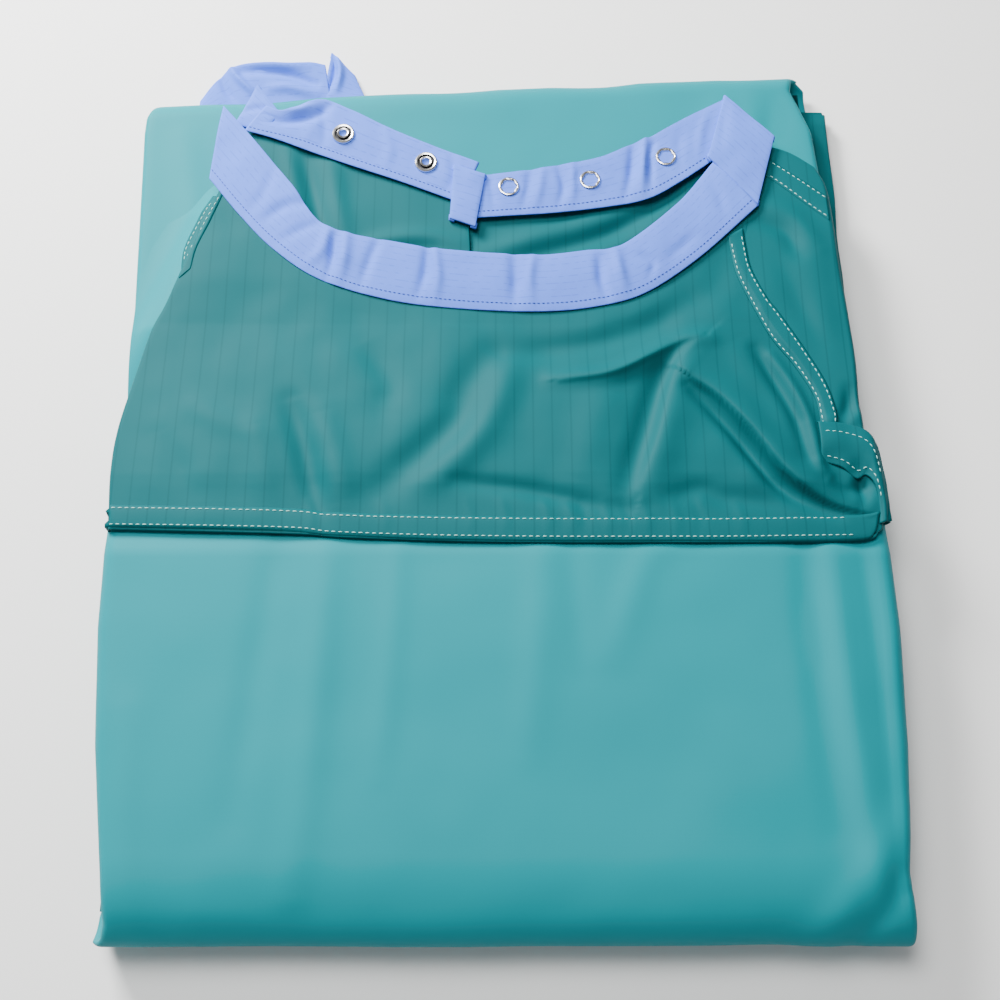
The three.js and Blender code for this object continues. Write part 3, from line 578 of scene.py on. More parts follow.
plan = patch(
    [(-199, -55.5), (-150, -57), (-101, -58.5), (-75, -60.5), (2, -63), (105, -63), (185, -62), (199, -56)],
    [(-157, 150), (-142, 138), (-120, 115), (-97, 99), (-62, 87), (-27, 81), (24, 79), (56, 82), (80, 90),
     (110, 111), (142, 134)],
    [(-199, -55.5), (-201, -25), (-200, 0), (-194, 32), (-188, 60), (-181, 78), (-170, 112), (-157, 150)],
    [(199, -56), (201, -40), (197, -24), (184, -10), (178, 4), (177, 20), (168, 42), (156, 66), (146, 92),
     (141, 112), (142, 134)],
    columns=270, rows=150,
)
x, y = plan[..., 0], plan[..., 1]
# It slopes down from the thick chest to the thin neck, with a crown across its middle.
height = np.interp(y, [-64, -26, 64, 160], [43.0, 42.6, 36.4, 35.6])
height += 2.0 * np.clip(1 - (x / 205) ** 2, 0, 1) * np.clip((20 - y) / 70, 0, 1)
base = height.copy()
height += 3.2 * np.exp(-((x / 150) ** 2) - ((y - 5) / 48) ** 2)
height = add_folds(plan, height, [
    ([(6, 45), (32, 48), (60, 53), (88, 64), (107, 78)], 8, -3.4),
    ([(30, 29), (60, 31), (84, 42), (100, 52), (116, 54)], 5.5, 3.0),
    ([(34, 28), (62, 32), (84, 43), (100, 52), (113, 56)], 6, 1.8, 0.5, 1.8),
    ([(-4, 45), (-16, 25), (-22, 4), (-43, -19), (-64, -38)], 10, -4.0),
    ([(8, 36), (0, 12), (-14, -12), (-34, -30)], 9, 2.8),
    ([(97, 50), (87, 24), (78, -4), (68, -34)], 7, -3.6),
    ([(76, -36), (87, -4), (94, 22), (101, 40), (112, 52)], 4, 3.4, 0.5, 12),
    ([(60, 22), (52, -4), (44, -30)], 11, 1.6),
    ([(-20, -31), (18, -36), (58, -45), (78, -45)], 5, -2.6),
    ([(92, -40), (107, -35), (120, -40), (150, -43)], 6, -2.4),
    ([(-110, 16), (-101, -12), (-95, -34), (-90, -54)], 7, -3.6),
    ([(-92, 10), (-84, -16), (-80, -42)], 8, 1.8),
    ([(-128, 2), (-122, -24), (-116, -50)], 8, 1.6),
    ([(-72, 52), (-57, 28), (-60, 12)], 8, -1.7),
    ([(-160, 12), (-140, 2), (-122, -2)], 7, 1.0),
    ([(-178, -4), (-166, -22), (-160, -44)], 8, -1.2),
    ([(105, 30), (119, 19), (134, 0), (149, -23), (163, -36), (178, -44), (198, -48)], 13, 6.0, 0.6, 1.3),
    ([(104, 25), (116, 12), (130, -6), (145, -28), (159, -41), (176, -49)], 4.5, -7.0, 0.8),
    ([(174, -29), (184, -35), (194, -33)], 5, -4.4),
    ([(190, -24), (192, -36), (190, -44)], 3, -2.6),
    ([(128, 52), (140, 32), (152, 12), (158, -8)], 8, 1.5),
    ([(142, 48), (152, 26), (160, 6), (165, -16)], 4, -2.8),
    ([(150, 44), (160, 24), (167, 2), (170, -18)], 3.5, 2.6),
    ([(164, 0), (169, -20), (176, -30), (186, -34)], 3.5, 2.2),
    ([(112, 74), (124, 90), (128, 106)], 9, -1.2),
])
height += unevenness(plan, 46, 1.7, 21.0) + unevenness(plan, 17, 0.4, 33.0)
# Short puckers run back from the seam.
for at, size in [(-96, 1.4), (-58, 0.9), (-14, 0.8), (4, 1.0), (26, 1.1), (38, 1.3), (45, -1.2), (57, 1.3),
                 (67, -1.2), (77, 1.2), (92, 1.1), (104, -1.0), (126, 0.9)]:
    height += fold(plan, [(at, -61), (at + 1.5, -52), (at - 1, -42)], 2.6, 0.75 * size)
# The cloth lies flatter where it is sewn to the panel and the neckband and where it is folded in.
neckline = smooth_line([(-157, 150), (-97, 96), (-27, 78), (24, 76), (80, 87), (142, 134)], 60)
seam_hold = np.clip((y + 66) / 34, 0.22, 1)
side_hold = np.clip((x + 199) / 22, 0.15, 1)
neck_hold = np.clip((np.interp(x, *neckline.T) - y) / 16, 0.1, 1)
height = base + (height - base) * seam_hold * side_hold * neck_hold
left_depth = np.interp(y[:, 0], [-60, -20, 60, 150], [17, 14, 5, 3])
right_depth = np.interp(y[:, -1], [-60, -20, 10, 120], [16, 12, 3, 2])
surface, cut = turn_side(with_height(plan, height), plan, "first", 2.2, left_depth, 16)
surface, cut = turn_side(surface, cut, "last", 3.0, right_depth, 10)
surface, cut = turn_end(surface, cut, "first", 0.7, 1.5, 9)
yoke = cloth("yoke", surface, cut, yoke_cloth, 0.6)
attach(yoke, "chest")
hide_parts("chest_yoke")

# ---- Stitching and the yoke seam ----
# The yoke seam is lapped, doubled and topstitched in two rows with a pale polyester thread. Each stitch is
# a short raised length of thread that dips into the cloth at both ends.

# Spun polyester sewing thread: pale mint, slightly fuzzy, so it has no gloss.
# Its fibres are about 0.4 mm apart in relief.
pale_thread, tree, shader = new_material(
    "pale_spun_polyester_thread", {"Base Color": linear("#a2ded4"), "Roughness": 0.75},
)
place = add_node(tree, "ShaderNodeTexCoord").outputs["Object"]
fuzz = add_node(tree, "ShaderNodeTexNoise", {"Scale": 2400.0, "Detail": 1.0}, {"Vector": place})
bump = add_node(
    tree, "ShaderNodeBump", {"Strength": 0.4, "Distance": 0.0002}, {"Height": fuzz.outputs["Fac"]},
)
tree.links.new(bump.outputs["Normal"], shader.inputs["Normal"])

STITCH = 2.2
STITCH_PITCH = 3.5
THREAD_RADIUS = 0.25


def level(piece, x, y, way=-1):
    """The height in mm where a ray from above, or from below with way 1, meets a piece, or nan where none."""
    hit, place, _, _ = piece.ray_cast(Vector((x / 1000, y / 1000, -0.2 * way)), Vector((0, 0, way)))
    return place.z * 1000 if hit else math.nan


def on_cloth(piece, path, step=1.2):
    """A path's points, dropped on to the top of a piece."""
    bpy.context.view_layer.update()
    length = np.linalg.norm(np.diff(smooth_line(path, 40), axis=0), axis=1).sum()
    points = [(x, y, level(piece, x, y)) for x, y in smooth_line(path, int(length / step))]
    return np.array([point for point in points if math.isfinite(point[2])])


def stitches(name, rows, material, radius=THREAD_RADIUS, pitch=STITCH_PITCH, stitch=STITCH):
    """Rows of separate stitches along lines that lie on the cloth."""
    corners, faces = [], []
    sides, rings = 6, 5
    for line in rows:
        gone = np.r_[0, np.cumsum(np.linalg.norm(np.diff(line, axis=0), axis=1))]
        for start in np.arange(0.8, gone[-1] - stitch, pitch):
            along = np.linspace(0, 1, rings)
            at = np.column_stack([np.interp(start + along * stitch, gone, line[:, k]) for k in range(3)])
            ahead = at[-1] - at[0]
            ahead = ahead / np.linalg.norm(ahead)
            aside = np.cross(ahead, (0, 0, 1))
            aside = aside / np.linalg.norm(aside)
            up = np.cross(aside, ahead)
            first = len(corners)
            for k in range(rings):
                thick = radius * (0.45 if k in (0, rings - 1) else 1.0)
                rise = radius * (1.1 * math.sin(math.pi * along[k]) - 0.35)
                for side in range(sides):
                    angle = 2 * math.pi * side / sides
                    offset = aside * math.cos(angle) * thick + up * (math.sin(angle) * thick + rise)
                    corners.append((at[k] + offset) / 1000)
            for k in range(rings - 1):
                for side in range(sides):
                    a = first + k * sides + side
                    b = first + k * sides + (side + 1) % sides
                    faces.append((a, a + sides, b + sides, b))
            faces.append([first + side for side in range(sides)])
            faces.append([first + (rings - 1) * sides + side for side in range(sides)][::-1])
    mesh = bpy.data.meshes.new(name)
    mesh.from_pydata([tuple(c) for c in corners], [], faces)
    mesh.polygons.foreach_set("use_smooth", [True] * len(mesh.polygons))
    mesh.materials.append(material)
    made = bpy.data.objects.new(name, mesh)
    scene.collection.objects.link(made)
    return made


def topstitch(lap, lines, step=1.2, radius=THREAD_RADIUS):
    """A lapped seam's rows of topstitching, along lines over it."""
    rows = [on_cloth(lap, line, step) for line in lines]
    made = stitches(lap.name.replace("_lap", "_stitches"), rows, pale_thread, radius)
    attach(made, "chest")


def lapped_seam(name, under, replaced, low_edge, high_edge, lines, lift, columns, radius=THREAD_RADIUS):
    """A narrow doubled seam of yoke cloth that follows the pieces under it, with its topstitching."""
    rows, thickness = 9, 0.5
    low, high = smooth_line(low_edge, columns), smooth_line(high_edge, columns)
    share = np.linspace(0, 1, rows)[:, None]
    plan = low[None] * (1 - share[..., None]) + high[None] * share[..., None]
    bpy.context.view_layer.update()
    height = np.array([[[level(piece, *point) for piece in under] for point in row] for row in plan])
    height = np.nan_to_num(height, nan=-np.inf).max(2)
    number = np.arange(columns)
    for row in height:
        known = np.isfinite(row)
        row[:] = np.interp(number, number[known], row[known])
    crown = np.sin(np.pi * np.clip(share, 0.02, 0.98)) ** 0.4
    surface = with_height(plan, height + thickness * 0.25 + lift * crown)
    lap = cloth(name, surface, plan, yoke_cloth, thickness)
    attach(lap, "chest")
    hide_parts(replaced)
    topstitch(lap, lines, radius=radius)


lapped_seam(
    "yoke_seam_lap", [yoke], "yoke_seam",
    [(-202, -56.5), (-150, -57.8), (-101, -59.2), (-75, -61.2), (2, -63.7), (105, -63.7), (183, -62.8),
     (196, -58)],
    [(-202, -43), (-150, -44.2), (-103, -45.5), (-77, -48), (2, -50), (105, -50), (183, -48.7), (199, -47)],
    [[(-200, -44.6), (-150, -45.6), (-103, -47), (-77, -49.5), (2, -51.2), (105, -51.2), (183, -50)],
     [(-200, -53.5), (-150, -54.5), (-103, -55.8), (-77, -58.4), (2, -60.6), (105, -60.6), (185, -59.4)]],
    lift=0.75, columns=230,
)

# ---- Sleeves ----
# Raglan sleeves. The left one, of barrier cloth, shows only beside the yoke's folded edge; the right one's
# cap shows from the shoulder to the armpit. Their seams are felled flat and topstitched twice.

plan = patch(
    [(-203, 20), (-200, 24), (-193, 30)],
    [(-203, 168), (-186, 170), (-160, 163)],
    [(-203, 20), (-203.5, 60), (-204, 95), (-204.5, 140), (-203, 168)],
    [(-193, 30), (-189, 50), (-181, 72), (-169, 106), (-153, 146), (-152, 160)],
    columns=34, rows=74,
)
plan[-1, -1] = (-152, 160)  # its corner reaches a little further, under the neckband
x, y = plan[..., 0], plan[..., 1]
fold_line = smooth_line([(-196, 20), (-190, 46), (-183, 70), (-171, 106), (-157, 146), (-150, 170)], 60)
from_fold = np.interp(y, fold_line[:, 1], fold_line[:, 0]) - x
# It climbs from the hem layer on to the chest, most of all half-way along.
climb = np.interp(y, [20, 64, 140, 165], [0.0, 1, 0.8, 0.3])
height = 20.6 + 14.0 / (1 + np.exp((from_fold - 14) / 5.0)) * climb
height += unevenness(plan, 30, 0.3, 14.0)
height -= 2.2 * np.clip((y - 140) / 25, 0, 1)
surface, cut = turn_side(with_height(plan, height), plan, "first", 2.0, 9.0, 12)
left_sleeve = cloth("left_sleeve_top", surface, cut, barrier, 0.5)
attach(left_sleeve, "chest")
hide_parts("left_sleeve")

lapped_seam(
    "left_raglan_lap", [left_sleeve, yoke], "left_raglan_seam",
    [(-171, 98), (-168.5, 112), (-162, 130), (-156, 148)],
    [(-177, 92), (-178, 114), (-172, 134), (-165, 152)],
    [[(-174, 106), (-170.5, 116), (-158.5, 145)], [(-176.6, 106), (-175.8, 117), (-164.5, 147)]],
    lift=0.25, columns=60, radius=0.24,
)

plan = patch(
    [(175, -8), (184, -8), (194, -10)],
    [(152, 182), (170, 176), (184, 166)],
    [(175, -8), (175, 5), (173, 20), (164, 40), (152, 60), (138.5, 92), (134, 117), (138, 150), (152, 182)],
    [(194, -10), (193, 20), (193.5, 48), (192, 79), (190.5, 100), (189.5, 139), (188, 155), (184, 166)],
    columns=44, rows=110,
)
x, y = plan[..., 0], plan[..., 1]
height = np.interp(y, [-10, 10, 64, 130, 182], [43.4, 42.6, 38.4, 35.6, 32.0])
height = add_folds(plan, height, [
    ([(182, -2), (188, 10), (190, 22)], 4, -2.6),
    ([(174, 4), (184, 3), (192, 8)], 4, 2.0),
    ([(150, 130), (164, 122), (170, 108)], 5, -1.8),
    ([(156, 140), (170, 132), (182, 112)], 6, 1.6),
    ([(176, 120), (180, 80), (184, 40)], 8, 0.9),
    ([(160, 104), (168, 76), (178, 52)], 6, -0.8),
])
height += unevenness(plan, 30, 0.9, 51.0)
side_depth = np.interp(y[:, -1], [-10, 40, 160], [16, 13, 7])
surface, cut = turn_side(with_height(plan, height), plan, "last", 3.4, side_depth, 14)
surface, cut = turn_side(surface, cut, "first", 0.6, 1.0, 2)
surface, cut = turn_end(surface, cut, "last", 1.6, 3.0, 8)
sleeve = cloth("right_sleeve_cap", surface, cut, yoke_cloth, 0.6)
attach(sleeve, "chest")
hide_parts("right_sleeve")

lapped_seam(
    "right_raglan_lap", [sleeve, yoke], "right_raglan_seam",
    [(172.5, 0), (172.5, 8), (170.5, 20), (161.5, 39), (149.5, 58), (136, 90), (132.5, 108), (131.5, 119)],
    [(181, 1), (181, 12), (175.5, 32), (158.5, 66), (150, 80), (143, 98), (141, 112), (140, 124)],
    [[(173.8, 1), (173.5, 9), (171.8, 20), (163, 39), (151, 58), (137.6, 90), (134, 107), (133, 117)],
     [(179.8, 2), (179.8, 11), (174.2, 31), (157.2, 65), (149, 79), (141.8, 97), (139.8, 111), (138.8, 121)]],
    lift=0.35, columns=90,
)
lapped_seam(
    "right_shoulder_lap", [sleeve], "right_shoulder_seam",
    [(150, 165), (163, 154), (176, 142), (190, 129)],
    [(154, 177), (167, 165), (179, 155), (190, 146)],
    [[(158, 160.5), (167, 152.5), (178, 142), (189, 132)],
     [(160, 169.5), (170, 161), (180, 152.5), (189, 145)]],
    lift=0.35, columns=40,
)

# The side seam is bunched up below the armpit.
low = [(171.5, -19), (181, -22), (189, -28), (194, -26), (198, -32), (199.5, -44), (199, -53)]
high = [(171.5, 2), (184, 1), (195, -3), (201, -12), (203.5, -28), (204, -42), (203.5, -52)]
share = np.linspace(0, 1, 16)[:, None, None]
plan = smooth_line(low, 60)[None] * (1 - share) + smooth_line(high, 60)[None] * share
hollow = np.exp(-(((plan[..., 0] - 190) / 6) ** 2) - ((plan[..., 1] + 25) / 7) ** 2)
height = 45.4 + 1.6 * np.sin(np.pi * share[..., 0]) - 2.4 * hollow
height += unevenness(plan, 12, 0.9, 77.0) - 2.5 * np.clip((plan[..., 0] - 198) / 5, 0, 1)
surface, cut = turn_end(with_height(plan, height), plan, "first", 0.8, 1.8, 6)
surface, cut = turn_end(surface, cut, "last", 1.6, 6, 5)
surface, cut = turn_side(surface, cut, "first", 0.8, 2.0, 3)
side_seam = cloth("right_side_lap", surface, cut, yoke_cloth, 0.6)
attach(side_seam, "chest")
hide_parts("right_side_seam")
topstitch(side_seam, [
    [(173, -3), (184, -4), (194, -8), (199, -16), (201, -28)],
    [(173, -16.6), (182, -19.4), (189.5, -24.4), (194.5, -23), (198.6, -30), (200.4, -42)],
], step=1.0)

# ---- Back panels in the neck opening ----
# The tops of the two back panels, seen through the neck. The left one laps over the right one at the centre
# back.

plan = patch(
    [(-30, 60), (40, 58), (150, 62)],
    [(-24, 142), (35, 145), (88, 154), (130, 180)],
    [(-30, 60), (-28, 100), (-24, 142)],
    [(150, 62), (146, 120), (130, 180)],
    columns=80, rows=52,
)
height = add_folds(plan, np.full(plan.shape[:2], 28.4), [
    ([(-8, 112), (22, 122), (52, 131), (80, 141)], 6, 2.2),
    ([(10, 108), (40, 116), (70, 128), (104, 152)], 5, -2.2),
    ([(30, 104), (62, 113), (92, 130), (120, 160)], 6, 2.4),
])
height += unevenness(plan, 26, 0.8, 91.0)
surface, cut = turn_side(with_height(plan, height), plan, "first", 0.8, 1.6, 4)
right_back = cloth("right_back_panel_top", surface, cut, yoke_cloth, 0.6)
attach(right_back, "chest")

plan = patch(
    [(-168, 70), (-90, 62), (-17, 60)],
    [(-150, 196), (-106, 180), (-60, 162), (-17, 146)],
    [(-168, 70), (-162, 140), (-150, 196)],
    [(-17, 60), (-15, 100), (-17, 146)],
    columns=84, rows=70,
)
height = add_folds(plan, np.full(plan.shape[:2], 31.0), [
    ([(-112, 176), (-106, 150), (-98, 120)], 5, -2.2),
    ([(-122, 178), (-116, 152), (-108, 124)], 5, 1.4),
    ([(-96, 172), (-92, 148), (-86, 118)], 6, 1.8),
    ([(-84, 112), (-64, 120), (-40, 122), (-22, 118)], 5, 1.6),
    ([(-84, 104), (-60, 112), (-36, 114)], 5, -1.6),
])
height += unevenness(plan, 28, 0.7, 64.0)
surface, cut = turn_side(with_height(plan, height), plan, "last", 0.8, 1.6, 14)
left_back = cloth("left_back_panel", surface, cut, yoke_cloth, 0.6)
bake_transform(left_back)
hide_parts("left_back_panel_upper", "left_back_panel_corner")

# ---- Neckband ----
# A doubled band of periwinkle-blue woven polyester round the neck, sewn to the yoke, the sleeves and the
# back panels, and topstitched near its sewn edge. It closes behind the neck with ring snaps.

# Filament polyester with carbon yarns along it, 4.5 mm apart and drawn 0.5 mm wide to show: matt, periwinkle,
# with fine lines broken every few millimetres.
band_polyester, tree, shader, uv, colours = woven("striped_band_polyester", "#5d82ee", "#557ae6", 0.7, 0.12)
add_stripes(tree, shader, uv, colours, 0.0045, 0.0005, 0.3, "#3453b4", 1, dash=0.004)
band_cloth = (band_polyester, "band_cloth")

# Blue sewing thread of the same yarn family, a shade deeper than the band.
blue_thread = new_material(
    "blue_spun_polyester_thread", {"Base Color": linear("#33459b"), "Roughness": 0.8},
)[0]

# The snaps' centres on the band's two ends.
SOCKETS = [(-89.1, 186.9), (-40.5, 168.2)]
RINGS = [(7.4, 152.6), (54.4, 157.2), (98.8, 172.6)]


def band(name, sewn, free, columns, heights, folds, seed, rim=0.6, snaps=(), tucked=0.95):
    """A doubled ribbon between its sewn edge and its folded free edge, with small tucks across it, pressed
    flat round its snaps. heights are places along it and its two edges' heights there. The line of its
    stitches is returned too."""
    rows = 26
    low, high = smooth_line(sewn, columns), smooth_line(free, columns)
    share = np.linspace(0, 1, rows)[:, None, None]
    plan = low[None] * (1 - share) + high[None] * share
    along = np.linspace(0, 1, columns)
    v = share[..., 0]
    sewn_z = np.interp(along, heights[0], heights[1])
    free_z = np.interp(along, heights[0], heights[2])
    height = sewn_z[None] * (1 - v) + free_z[None] * v
    height = height + rim * np.sin(np.pi * v) ** 0.6
    loose = np.clip(0.25 + 1.5 * v, 0, 1)
    extra = unevenness(plan, 20, 0.8, seed) + unevenness(plan, 6, 0.12, seed + 5)
    for path, width, size in folds:
        extra = extra + fold(plan, path, width, tucked * size)
    height = height + extra * loose
    # The cloth is clamped flat round each snap.
    for centre in snaps:
        gap = np.linalg.norm(plan - np.array(centre), axis=2)
        level = height[gap < 6].mean()
        pressed = np.clip((10 - gap) / 3.5, 0, 1)
        height = height * (1 - pressed) + level * pressed
    length = np.linalg.norm(np.diff((low + high) / 2, axis=0), axis=1).sum()
    wide = np.linalg.norm(high - low, axis=1).mean()
    cut = np.stack(np.broadcast_arrays(along[None] * length, v * wide), -1)
    surface = with_height(plan, height)
    sewn_row = surface[max(1, round(rows * 0.12))].copy()
    # The inner ply turns back from the free edge and follows the outer one, a little lower.
    lining = surface[-5:3:-3] + np.array([0, 0, -1.5])
    surface, cut = turn_end(surface, cut, "last", 0.8, 1.5, 1.5)
    lining_cut = np.stack([cut[-1] + np.array([0, k]) for k in np.linspace(3, wide * 0.7, len(lining))])
    surface, cut = np.concatenate([surface, lining]), np.concatenate([cut, lining_cut])
    surface, cut = turn_end(surface, cut, "first", 0.5, 0.9, 2.5)
    return cloth(name, surface, cut, band_cloth, 0.5), sewn_row


def sew_down(name, row):
    """The band's single row of topstitching."""
    made = stitches(name, [row + np.array([0, 0, 0.05])], blue_thread, radius=0.2, pitch=2.6, stitch=1.7)
    return made


front_band, row = band(
    "band_front",
    [(-165, 157), (-146, 133), (-126, 111.5), (-100, 92.5), (-64, 80), (-27, 74), (24, 71.5), (58, 75),
     (84, 83.5), (114, 105), (149, 138)],
    [(-161, 207), (-144, 186), (-117, 151), (-96, 124), (-55, 113), (-27, 108), (22, 105), (50, 108),
     (72, 112), (103, 138), (127, 168)],
    230,
    ([0, 0.08, 0.2, 0.5, 0.8, 1], [36.4, 36.6, 37.0, 37.6, 38.0, 38.4], [34.4, 36.4, 38.6, 39.6, 39.2, 36.6]),
    [
        ([(-143, 132), (-133, 146), (-128, 162)], 3.5, -0.9),
        ([(-133, 128), (-118, 138), (-104, 139)], 3.2, -1.5),
        ([(-124, 114), (-110, 122), (-100, 126)], 3.0, -1.3),
        ([(-106, 100), (-98, 108), (-94, 122)], 3.2, 1.8),
        ([(-95, 90), (-92, 102), (-91, 118)], 2.2, -2.6),
        ([(-88, 88), (-85, 102), (-84, 120)], 3.0, 2.4),
        ([(-76, 84), (-72, 98), (-66, 116)], 2.6, -1.8),
        ([(-44, 78), (-40, 92), (-38, 110)], 2.4, -2.2),
        ([(-34, 76), (-32, 92), (-34, 108)], 2.4, 2.0),
        ([(10, 74), (11, 90), (10, 106)], 3.2, -2.4),
        ([(20, 74), (19, 90), (21, 106)], 2.4, 1.7),
        ([(62, 78), (59, 90), (58, 104)], 2.6, -2.8),
        ([(72, 84), (69, 96), (67, 108)], 3.0, 2.6),
        ([(86, 92), (88, 100), (82, 106)], 2.0, -1.6),
        ([(98, 104), (106, 112), (112, 118)], 3.0, -1.2),
        ([(130, 132), (128, 142), (124, 150)], 3.0, -1.0),
    ], 15.0, rim=0.9,
)
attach(front_band, "chest")
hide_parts("neckband_front")
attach(sew_down("neckband_front_stitches", row), "chest")

# The band's left end, past the shoulder, is free.
left_band, row = band(
    "band_left",
    [(-147, 191), (-131, 186), (-106, 176), (-85, 168), (-55, 157), (-20, 143)],
    [(-136, 207), (-124, 203), (-104, 211), (-86, 204), (-56, 188), (-10, 168)],
    110, ([0, 0.2, 0.6, 1], [34.2, 34.2, 33.6, 33.2], [34.0, 35.4, 34.6, 34.0]),
    [
        ([(-136, 199), (-122, 196), (-108, 199), (-98, 207)], 3.0, -2.6),
        ([(-130, 206), (-118, 203), (-108, 207)], 2.6, 2.2),
        ([(-101, 178), (-100, 190), (-102, 206)], 3.0, -1.6),
        ([(-112, 182), (-108, 192)], 3.4, 0.9),
        ([(-66, 162), (-62, 174), (-64, 188)], 3.4, 0.9),
        ([(-28, 150), (-24, 160), (-26, 172)], 2.6, -1.0),
    ], 22.0, snaps=SOCKETS,
)
for piece in (left_band, sew_down("neckband_left_stitches", row)):
    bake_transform(piece)
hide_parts("neckband_left_back")


def facet(name, corners, heights, folds, seed):
    """A folded-over corner of the band, between four corner points."""
    a, b, c, d = (np.array(p, float) for p in corners)
    u = np.linspace(0, 1, 26)[None, :, None]
    v = np.linspace(0, 1, 26)[:, None, None]
    plan = (1 - v) * ((1 - u) * a + u * b) + v * ((1 - u) * d + u * c)
    level = (1 - v) * ((1 - u) * heights[0] + u * heights[1]) + v * ((1 - u) * heights[3] + u * heights[2])
    crown = (np.sin(np.pi * u) * np.sin(np.pi * v)) ** 0.5
    height = add_folds(plan, (level + crown)[..., 0] + unevenness(plan, 14, 0.6, seed), folds)
    sizes = u[..., 0] * np.linalg.norm(b - a), v[..., 0] * np.linalg.norm(d - a)
    surface, cut = with_height(plan, height), np.stack(np.broadcast_arrays(*sizes), -1)
    for turn in (turn_side, turn_end):
        for side in ("first", "last"):
            surface, cut = turn(surface, cut, side, 0.5, 1.4, 2.5)
    return cloth(name, surface, cut, band_cloth, 0.6)


left_shoulder = facet(
    "band_left_shoulder",
    [(-153, 196), (-136, 190), (-128, 203), (-142, 223)], (33.4, 33.6, 33.4, 32.4),
    [([(-150, 204), (-140, 206), (-130, 202)], 2.6, -1.4)], 31.0,
)
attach(left_shoulder, "chest")
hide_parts("neckband_left_shoulder")

tab = facet(
    "band_tab", [(-26, 132), (-12, 127), (-6.5, 160), (-24, 166)], (34.6, 34.4, 35.4, 35.6), [], 36.0,
)
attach(tab, "band_end")
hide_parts("neckband_tab")

right_band, row = band(
    "band_right",
    [(-14, 133.5), (8, 135), (35, 137), (66, 141), (88, 146), (107, 157), (128, 172)],
    [(-12, 160), (14, 163), (37, 167), (60, 172), (79, 181), (87, 185), (92, 187), (114, 201), (137, 214)],
    130, ([0, 0.3, 0.7, 1], [32.6, 32.6, 33.0, 34.2], [33.0, 33.6, 33.4, 31.6]),
    [
        ([(-1, 136), (-2, 148), (-4, 161)], 2.4, -0.9),
        ([(15, 138), (18, 150), (20, 164)], 2.6, -1.3),
        ([(22, 138), (25, 150), (27, 165)], 2.6, 1.2),
        ([(36, 140), (39, 153), (36, 166)], 2.2, -1.8),
        ([(43, 141), (45, 154), (44, 168)], 2.4, 1.3),
        ([(74, 144), (78, 160), (80, 180)], 2.6, -2.2),
        ([(84, 148), (85, 164), (87, 185)], 2.4, 2.6),
        ([(90, 152), (90, 166), (92, 182)], 2.0, -2.0),
        ([(108, 160), (106, 174), (108, 190)], 3.2, -0.8),
        ([(118, 172), (120, 188), (124, 202)], 3.0, 1.0),
    ], 41.0, snaps=RINGS,
)
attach(right_band, "chest")
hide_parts("neckband_right_back")
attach(sew_down("neckband_right_stitches", row), "chest")

right_shoulder = facet(
    "band_right_shoulder",
    [(123, 170), (149, 139), (162, 185), (136, 215)], (38.0, 39.0, 36.4, 33.6),
    [([(128, 172), (140, 178), (150, 172)], 7, 0.8), ([(130, 176), (133, 192), (136, 210)], 3.0, -0.6)], 47.0,
)
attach(right_shoulder, "chest")

# ---- Snaps ----
# Ring snaps of nickel-plated brass, 13 mm across: two sockets on the band's left end, each clenched to a
# prong ring behind the cloth, and three open prong rings on its right end, each holding a stud behind it.

# Nickel plate over brass, barrel-plated and rubbed: a bright mirror-like skin with marks about 1.4 mm long.
nickel, tree, shader = new_material("nickel_plated_brass", {"Base Color": linear("#d6d4cf"), "Metallic": 1.0})
place = add_node(tree, "ShaderNodeTexCoord").outputs["Object"]
rubbed = add_node(tree, "ShaderNodeTexNoise", {"Scale": 700.0, "Detail": 4.0}, {"Vector": place})
rough = add_node(
    tree, "ShaderNodeMapRange", {"To Min": 0.16, "To Max": 0.34}, {"Value": rubbed.outputs["Fac"]},
)
tree.links.new(rough.outputs["Result"], shader.inputs["Roughness"])

# Spring steel in the socket's groove, oxidised almost black: a dark ring with a soft shine.
oxide = new_material(
    "oxidised_spring_steel", {"Base Color": linear("#1c1c20"), "Metallic": 0.6, "Roughness": 0.45},
)[0]


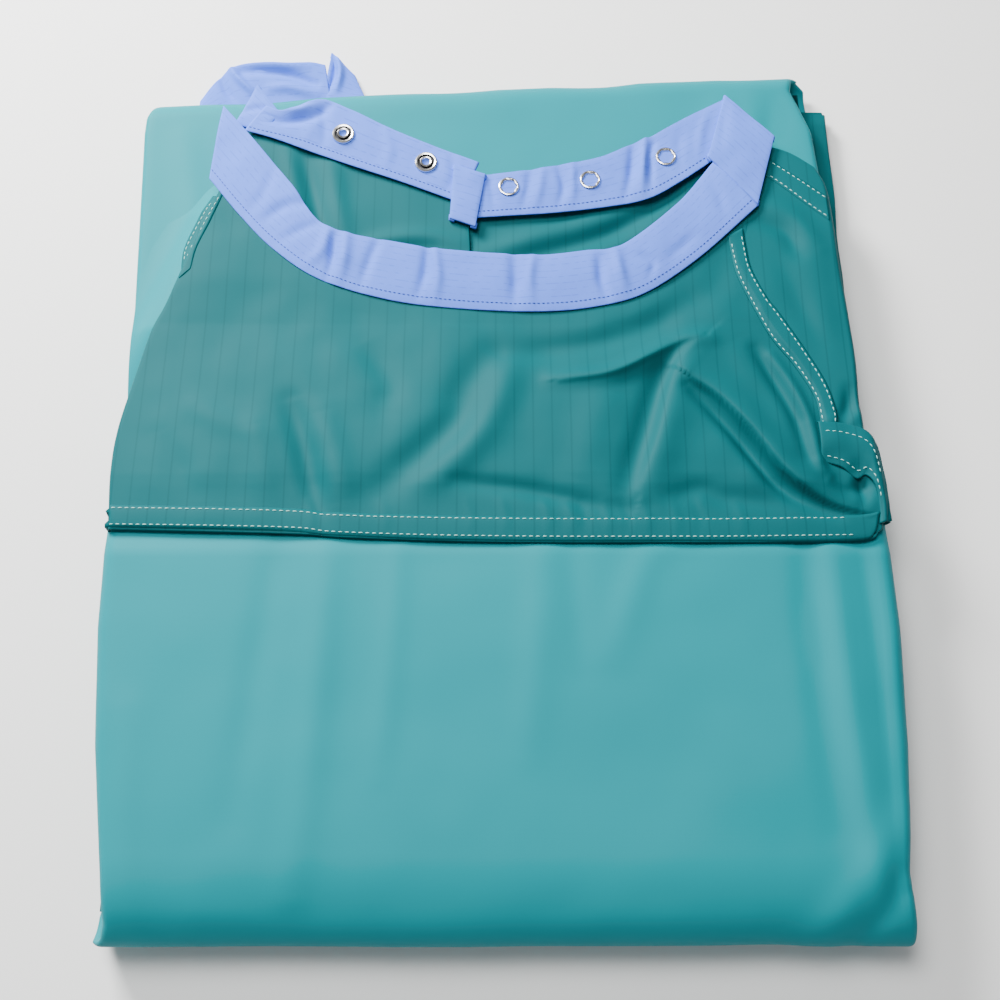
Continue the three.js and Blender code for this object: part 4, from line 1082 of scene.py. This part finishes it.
def turned(name, profile, place, body, replaced, teeth=0.0, dark=None):
    """A turned part from its section, a closed run of (radius, height) in mm, standing at a place in mm. Its
    hole can be cut to six teeth, and its faces between two radii can be dark."""
    bpy.ops.object.select_all(action="DESELECT")
    bpy.ops.mesh.primitive_circle_add(vertices=48, radius=profile[0][0] / 1000, location=(0, 0, 0))
    part = bpy.context.object
    part.name = part.data.name = name
    bpy.ops.object.mode_set(mode="EDIT")
    bpy.ops.mesh.select_all(action="SELECT")
    bpy.ops.transform.translate(value=(0, 0, profile[0][1] / 1000))
    for (radius, height), (next_radius, next_height) in zip(profile, profile[1:] + profile[:1]):
        step = (0, 0, (next_height - height) / 1000)
        bpy.ops.mesh.extrude_edges_move(TRANSFORM_OT_translate={"value": step})
        scale = next_radius / radius
        bpy.ops.transform.resize(value=(scale, scale, 1), center_override=(0, 0, 0))
    bpy.ops.mesh.select_all(action="SELECT")
    bpy.ops.mesh.remove_doubles(threshold=0.000002)
    bpy.ops.mesh.normals_make_consistent(inside=False)
    bpy.ops.object.mode_set(mode="OBJECT")
    inner = min(radius for radius, _ in profile)
    for corner in part.data.vertices:
        x, y, _ = corner.co
        if math.hypot(x, y) * 1000 < inner + 0.7:
            bite = 1 + teeth * math.cos(6 * math.atan2(y, x))
            corner.co.x, corner.co.y = x * bite, y * bite
    part.data.materials.append(nickel)
    part.data.materials.append(oxide)
    for face in part.data.polygons:
        if dark and dark[0] < math.hypot(*face.center[:2]) * 1000 < dark[1]:
            face.material_index = 1
    bpy.ops.object.shade_smooth_by_angle(angle=math.radians(38))
    part.location = [c / 1000 for c in place]
    bpy.ops.object.transform_apply(location=True, rotation=False, scale=False)
    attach(part, body)
    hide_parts(replaced)
    part.select_set(False)


# The sections of the snaps' halves, outside first, from the face of the cloth.
SOCKET = [
    (6.3, 0), (6.6, 0.5), (6.4, 1.2), (5.7, 1.6), (4.9, 1.4), (4.6, 0.5), (3.7, 0.5), (3.5, 1.7), (3.0, 2.1),
    (2.4, 1.9), (2.1, 1.0), (2.0, 0),
]
PRONG_RING = [(5.9, 0), (6.1, 0.5), (5.8, 1.0), (5.2, 1.2), (4.6, 1.0), (4.2, 0.5), (4.1, 0)]
BACK_RING = [(5.9, 0), (6.1, -0.5), (5.2, -1.1), (4.4, -0.9), (4.1, 0)]
STUD = [(5.5, 0), (5.7, -0.4), (5.0, -0.8), (2.4, -0.8), (2.2, -1.6), (1.2, -1.6), (1.0, 0)]
SUNK = 0.1  # how deep each half is pressed into the cloth
bpy.context.view_layer.update()
for number, centre in enumerate(SOCKETS, 1):
    top, low = level(left_band, *centre), level(left_band, *centre, 1)
    front, back = (*centre, top - SUNK), (*centre, low + SUNK)
    turned(f"socket_{number}", SOCKET, front, "band_end", f"snap_socket_{number}", dark=(3.45, 5.0))
    turned(f"socket_ring_{number}", BACK_RING, back, "band_end", f"socket_back_ring_{number}")
for number, centre in enumerate(RINGS, 1):
    top, low = level(right_band, *centre), level(right_band, *centre, 1)
    front, back = (*centre, top - SUNK), (*centre, low + SUNK)
    turned(f"prong_ring_{number}", PRONG_RING, front, "chest", f"snap_ring_{number}", teeth=0.06)
    turned(f"stud_{number}", STUD, back, "chest", f"snap_stud_{number}")

# ---- Waist ties ----
# Two ties of the band's blue cloth, folded to narrow tape, bunched up on the table behind the rear fold.

left_tie, _ = band(
    "tie_left",
    [(-184, 218.5), (-172, 219), (-158, 219.5), (-146, 220), (-128, 221), (-112, 222), (-101, 223)],
    [(-184, 233), (-175, 244), (-163, 255), (-146, 257), (-129, 257), (-116, 259), (-107, 258)],
    120, ([0, 0.2, 0.45, 0.8, 1], [3.2, 3.3, 3.4, 3.4, 3.2], [3.6, 6.8, 8.6, 7.8, 5.2]),
    [
        ([(-166, 254), (-160, 246), (-150, 236)], 2.2, 3.0),
        ([(-172, 250), (-168, 240), (-162, 232)], 2.6, -1.6),
        ([(-158, 252), (-144, 252), (-128, 250), (-112, 244)], 2.6, -3.2),
        ([(-150, 256), (-134, 256), (-118, 256)], 2.4, 1.6),
        ([(-140, 240), (-128, 240), (-112, 236)], 3.0, 2.4),
    ], 71.0, rim=0.8, tucked=1.0,
)
right_tie = facet(
    "tie_right", [(-109, 223), (-77, 224.5), (-89, 252), (-103, 266)], (3.2, 3.2, 4.6, 7.2),
    [([(-105, 240), (-101, 252), (-102, 264)], 1.8, -2.4), ([(-99, 240), (-97, 252), (-100, 264)], 2.0, 2.4)],
    83.0,
)
for tie, replaced, flat in [
    (left_tie, "waist_tie_left", (0.10, 0.060)),
    (right_tie, "waist_tie_right", (0.034, 0.044)),
]:
    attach(tie, "middle")
    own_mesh(tie)
    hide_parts(replaced)
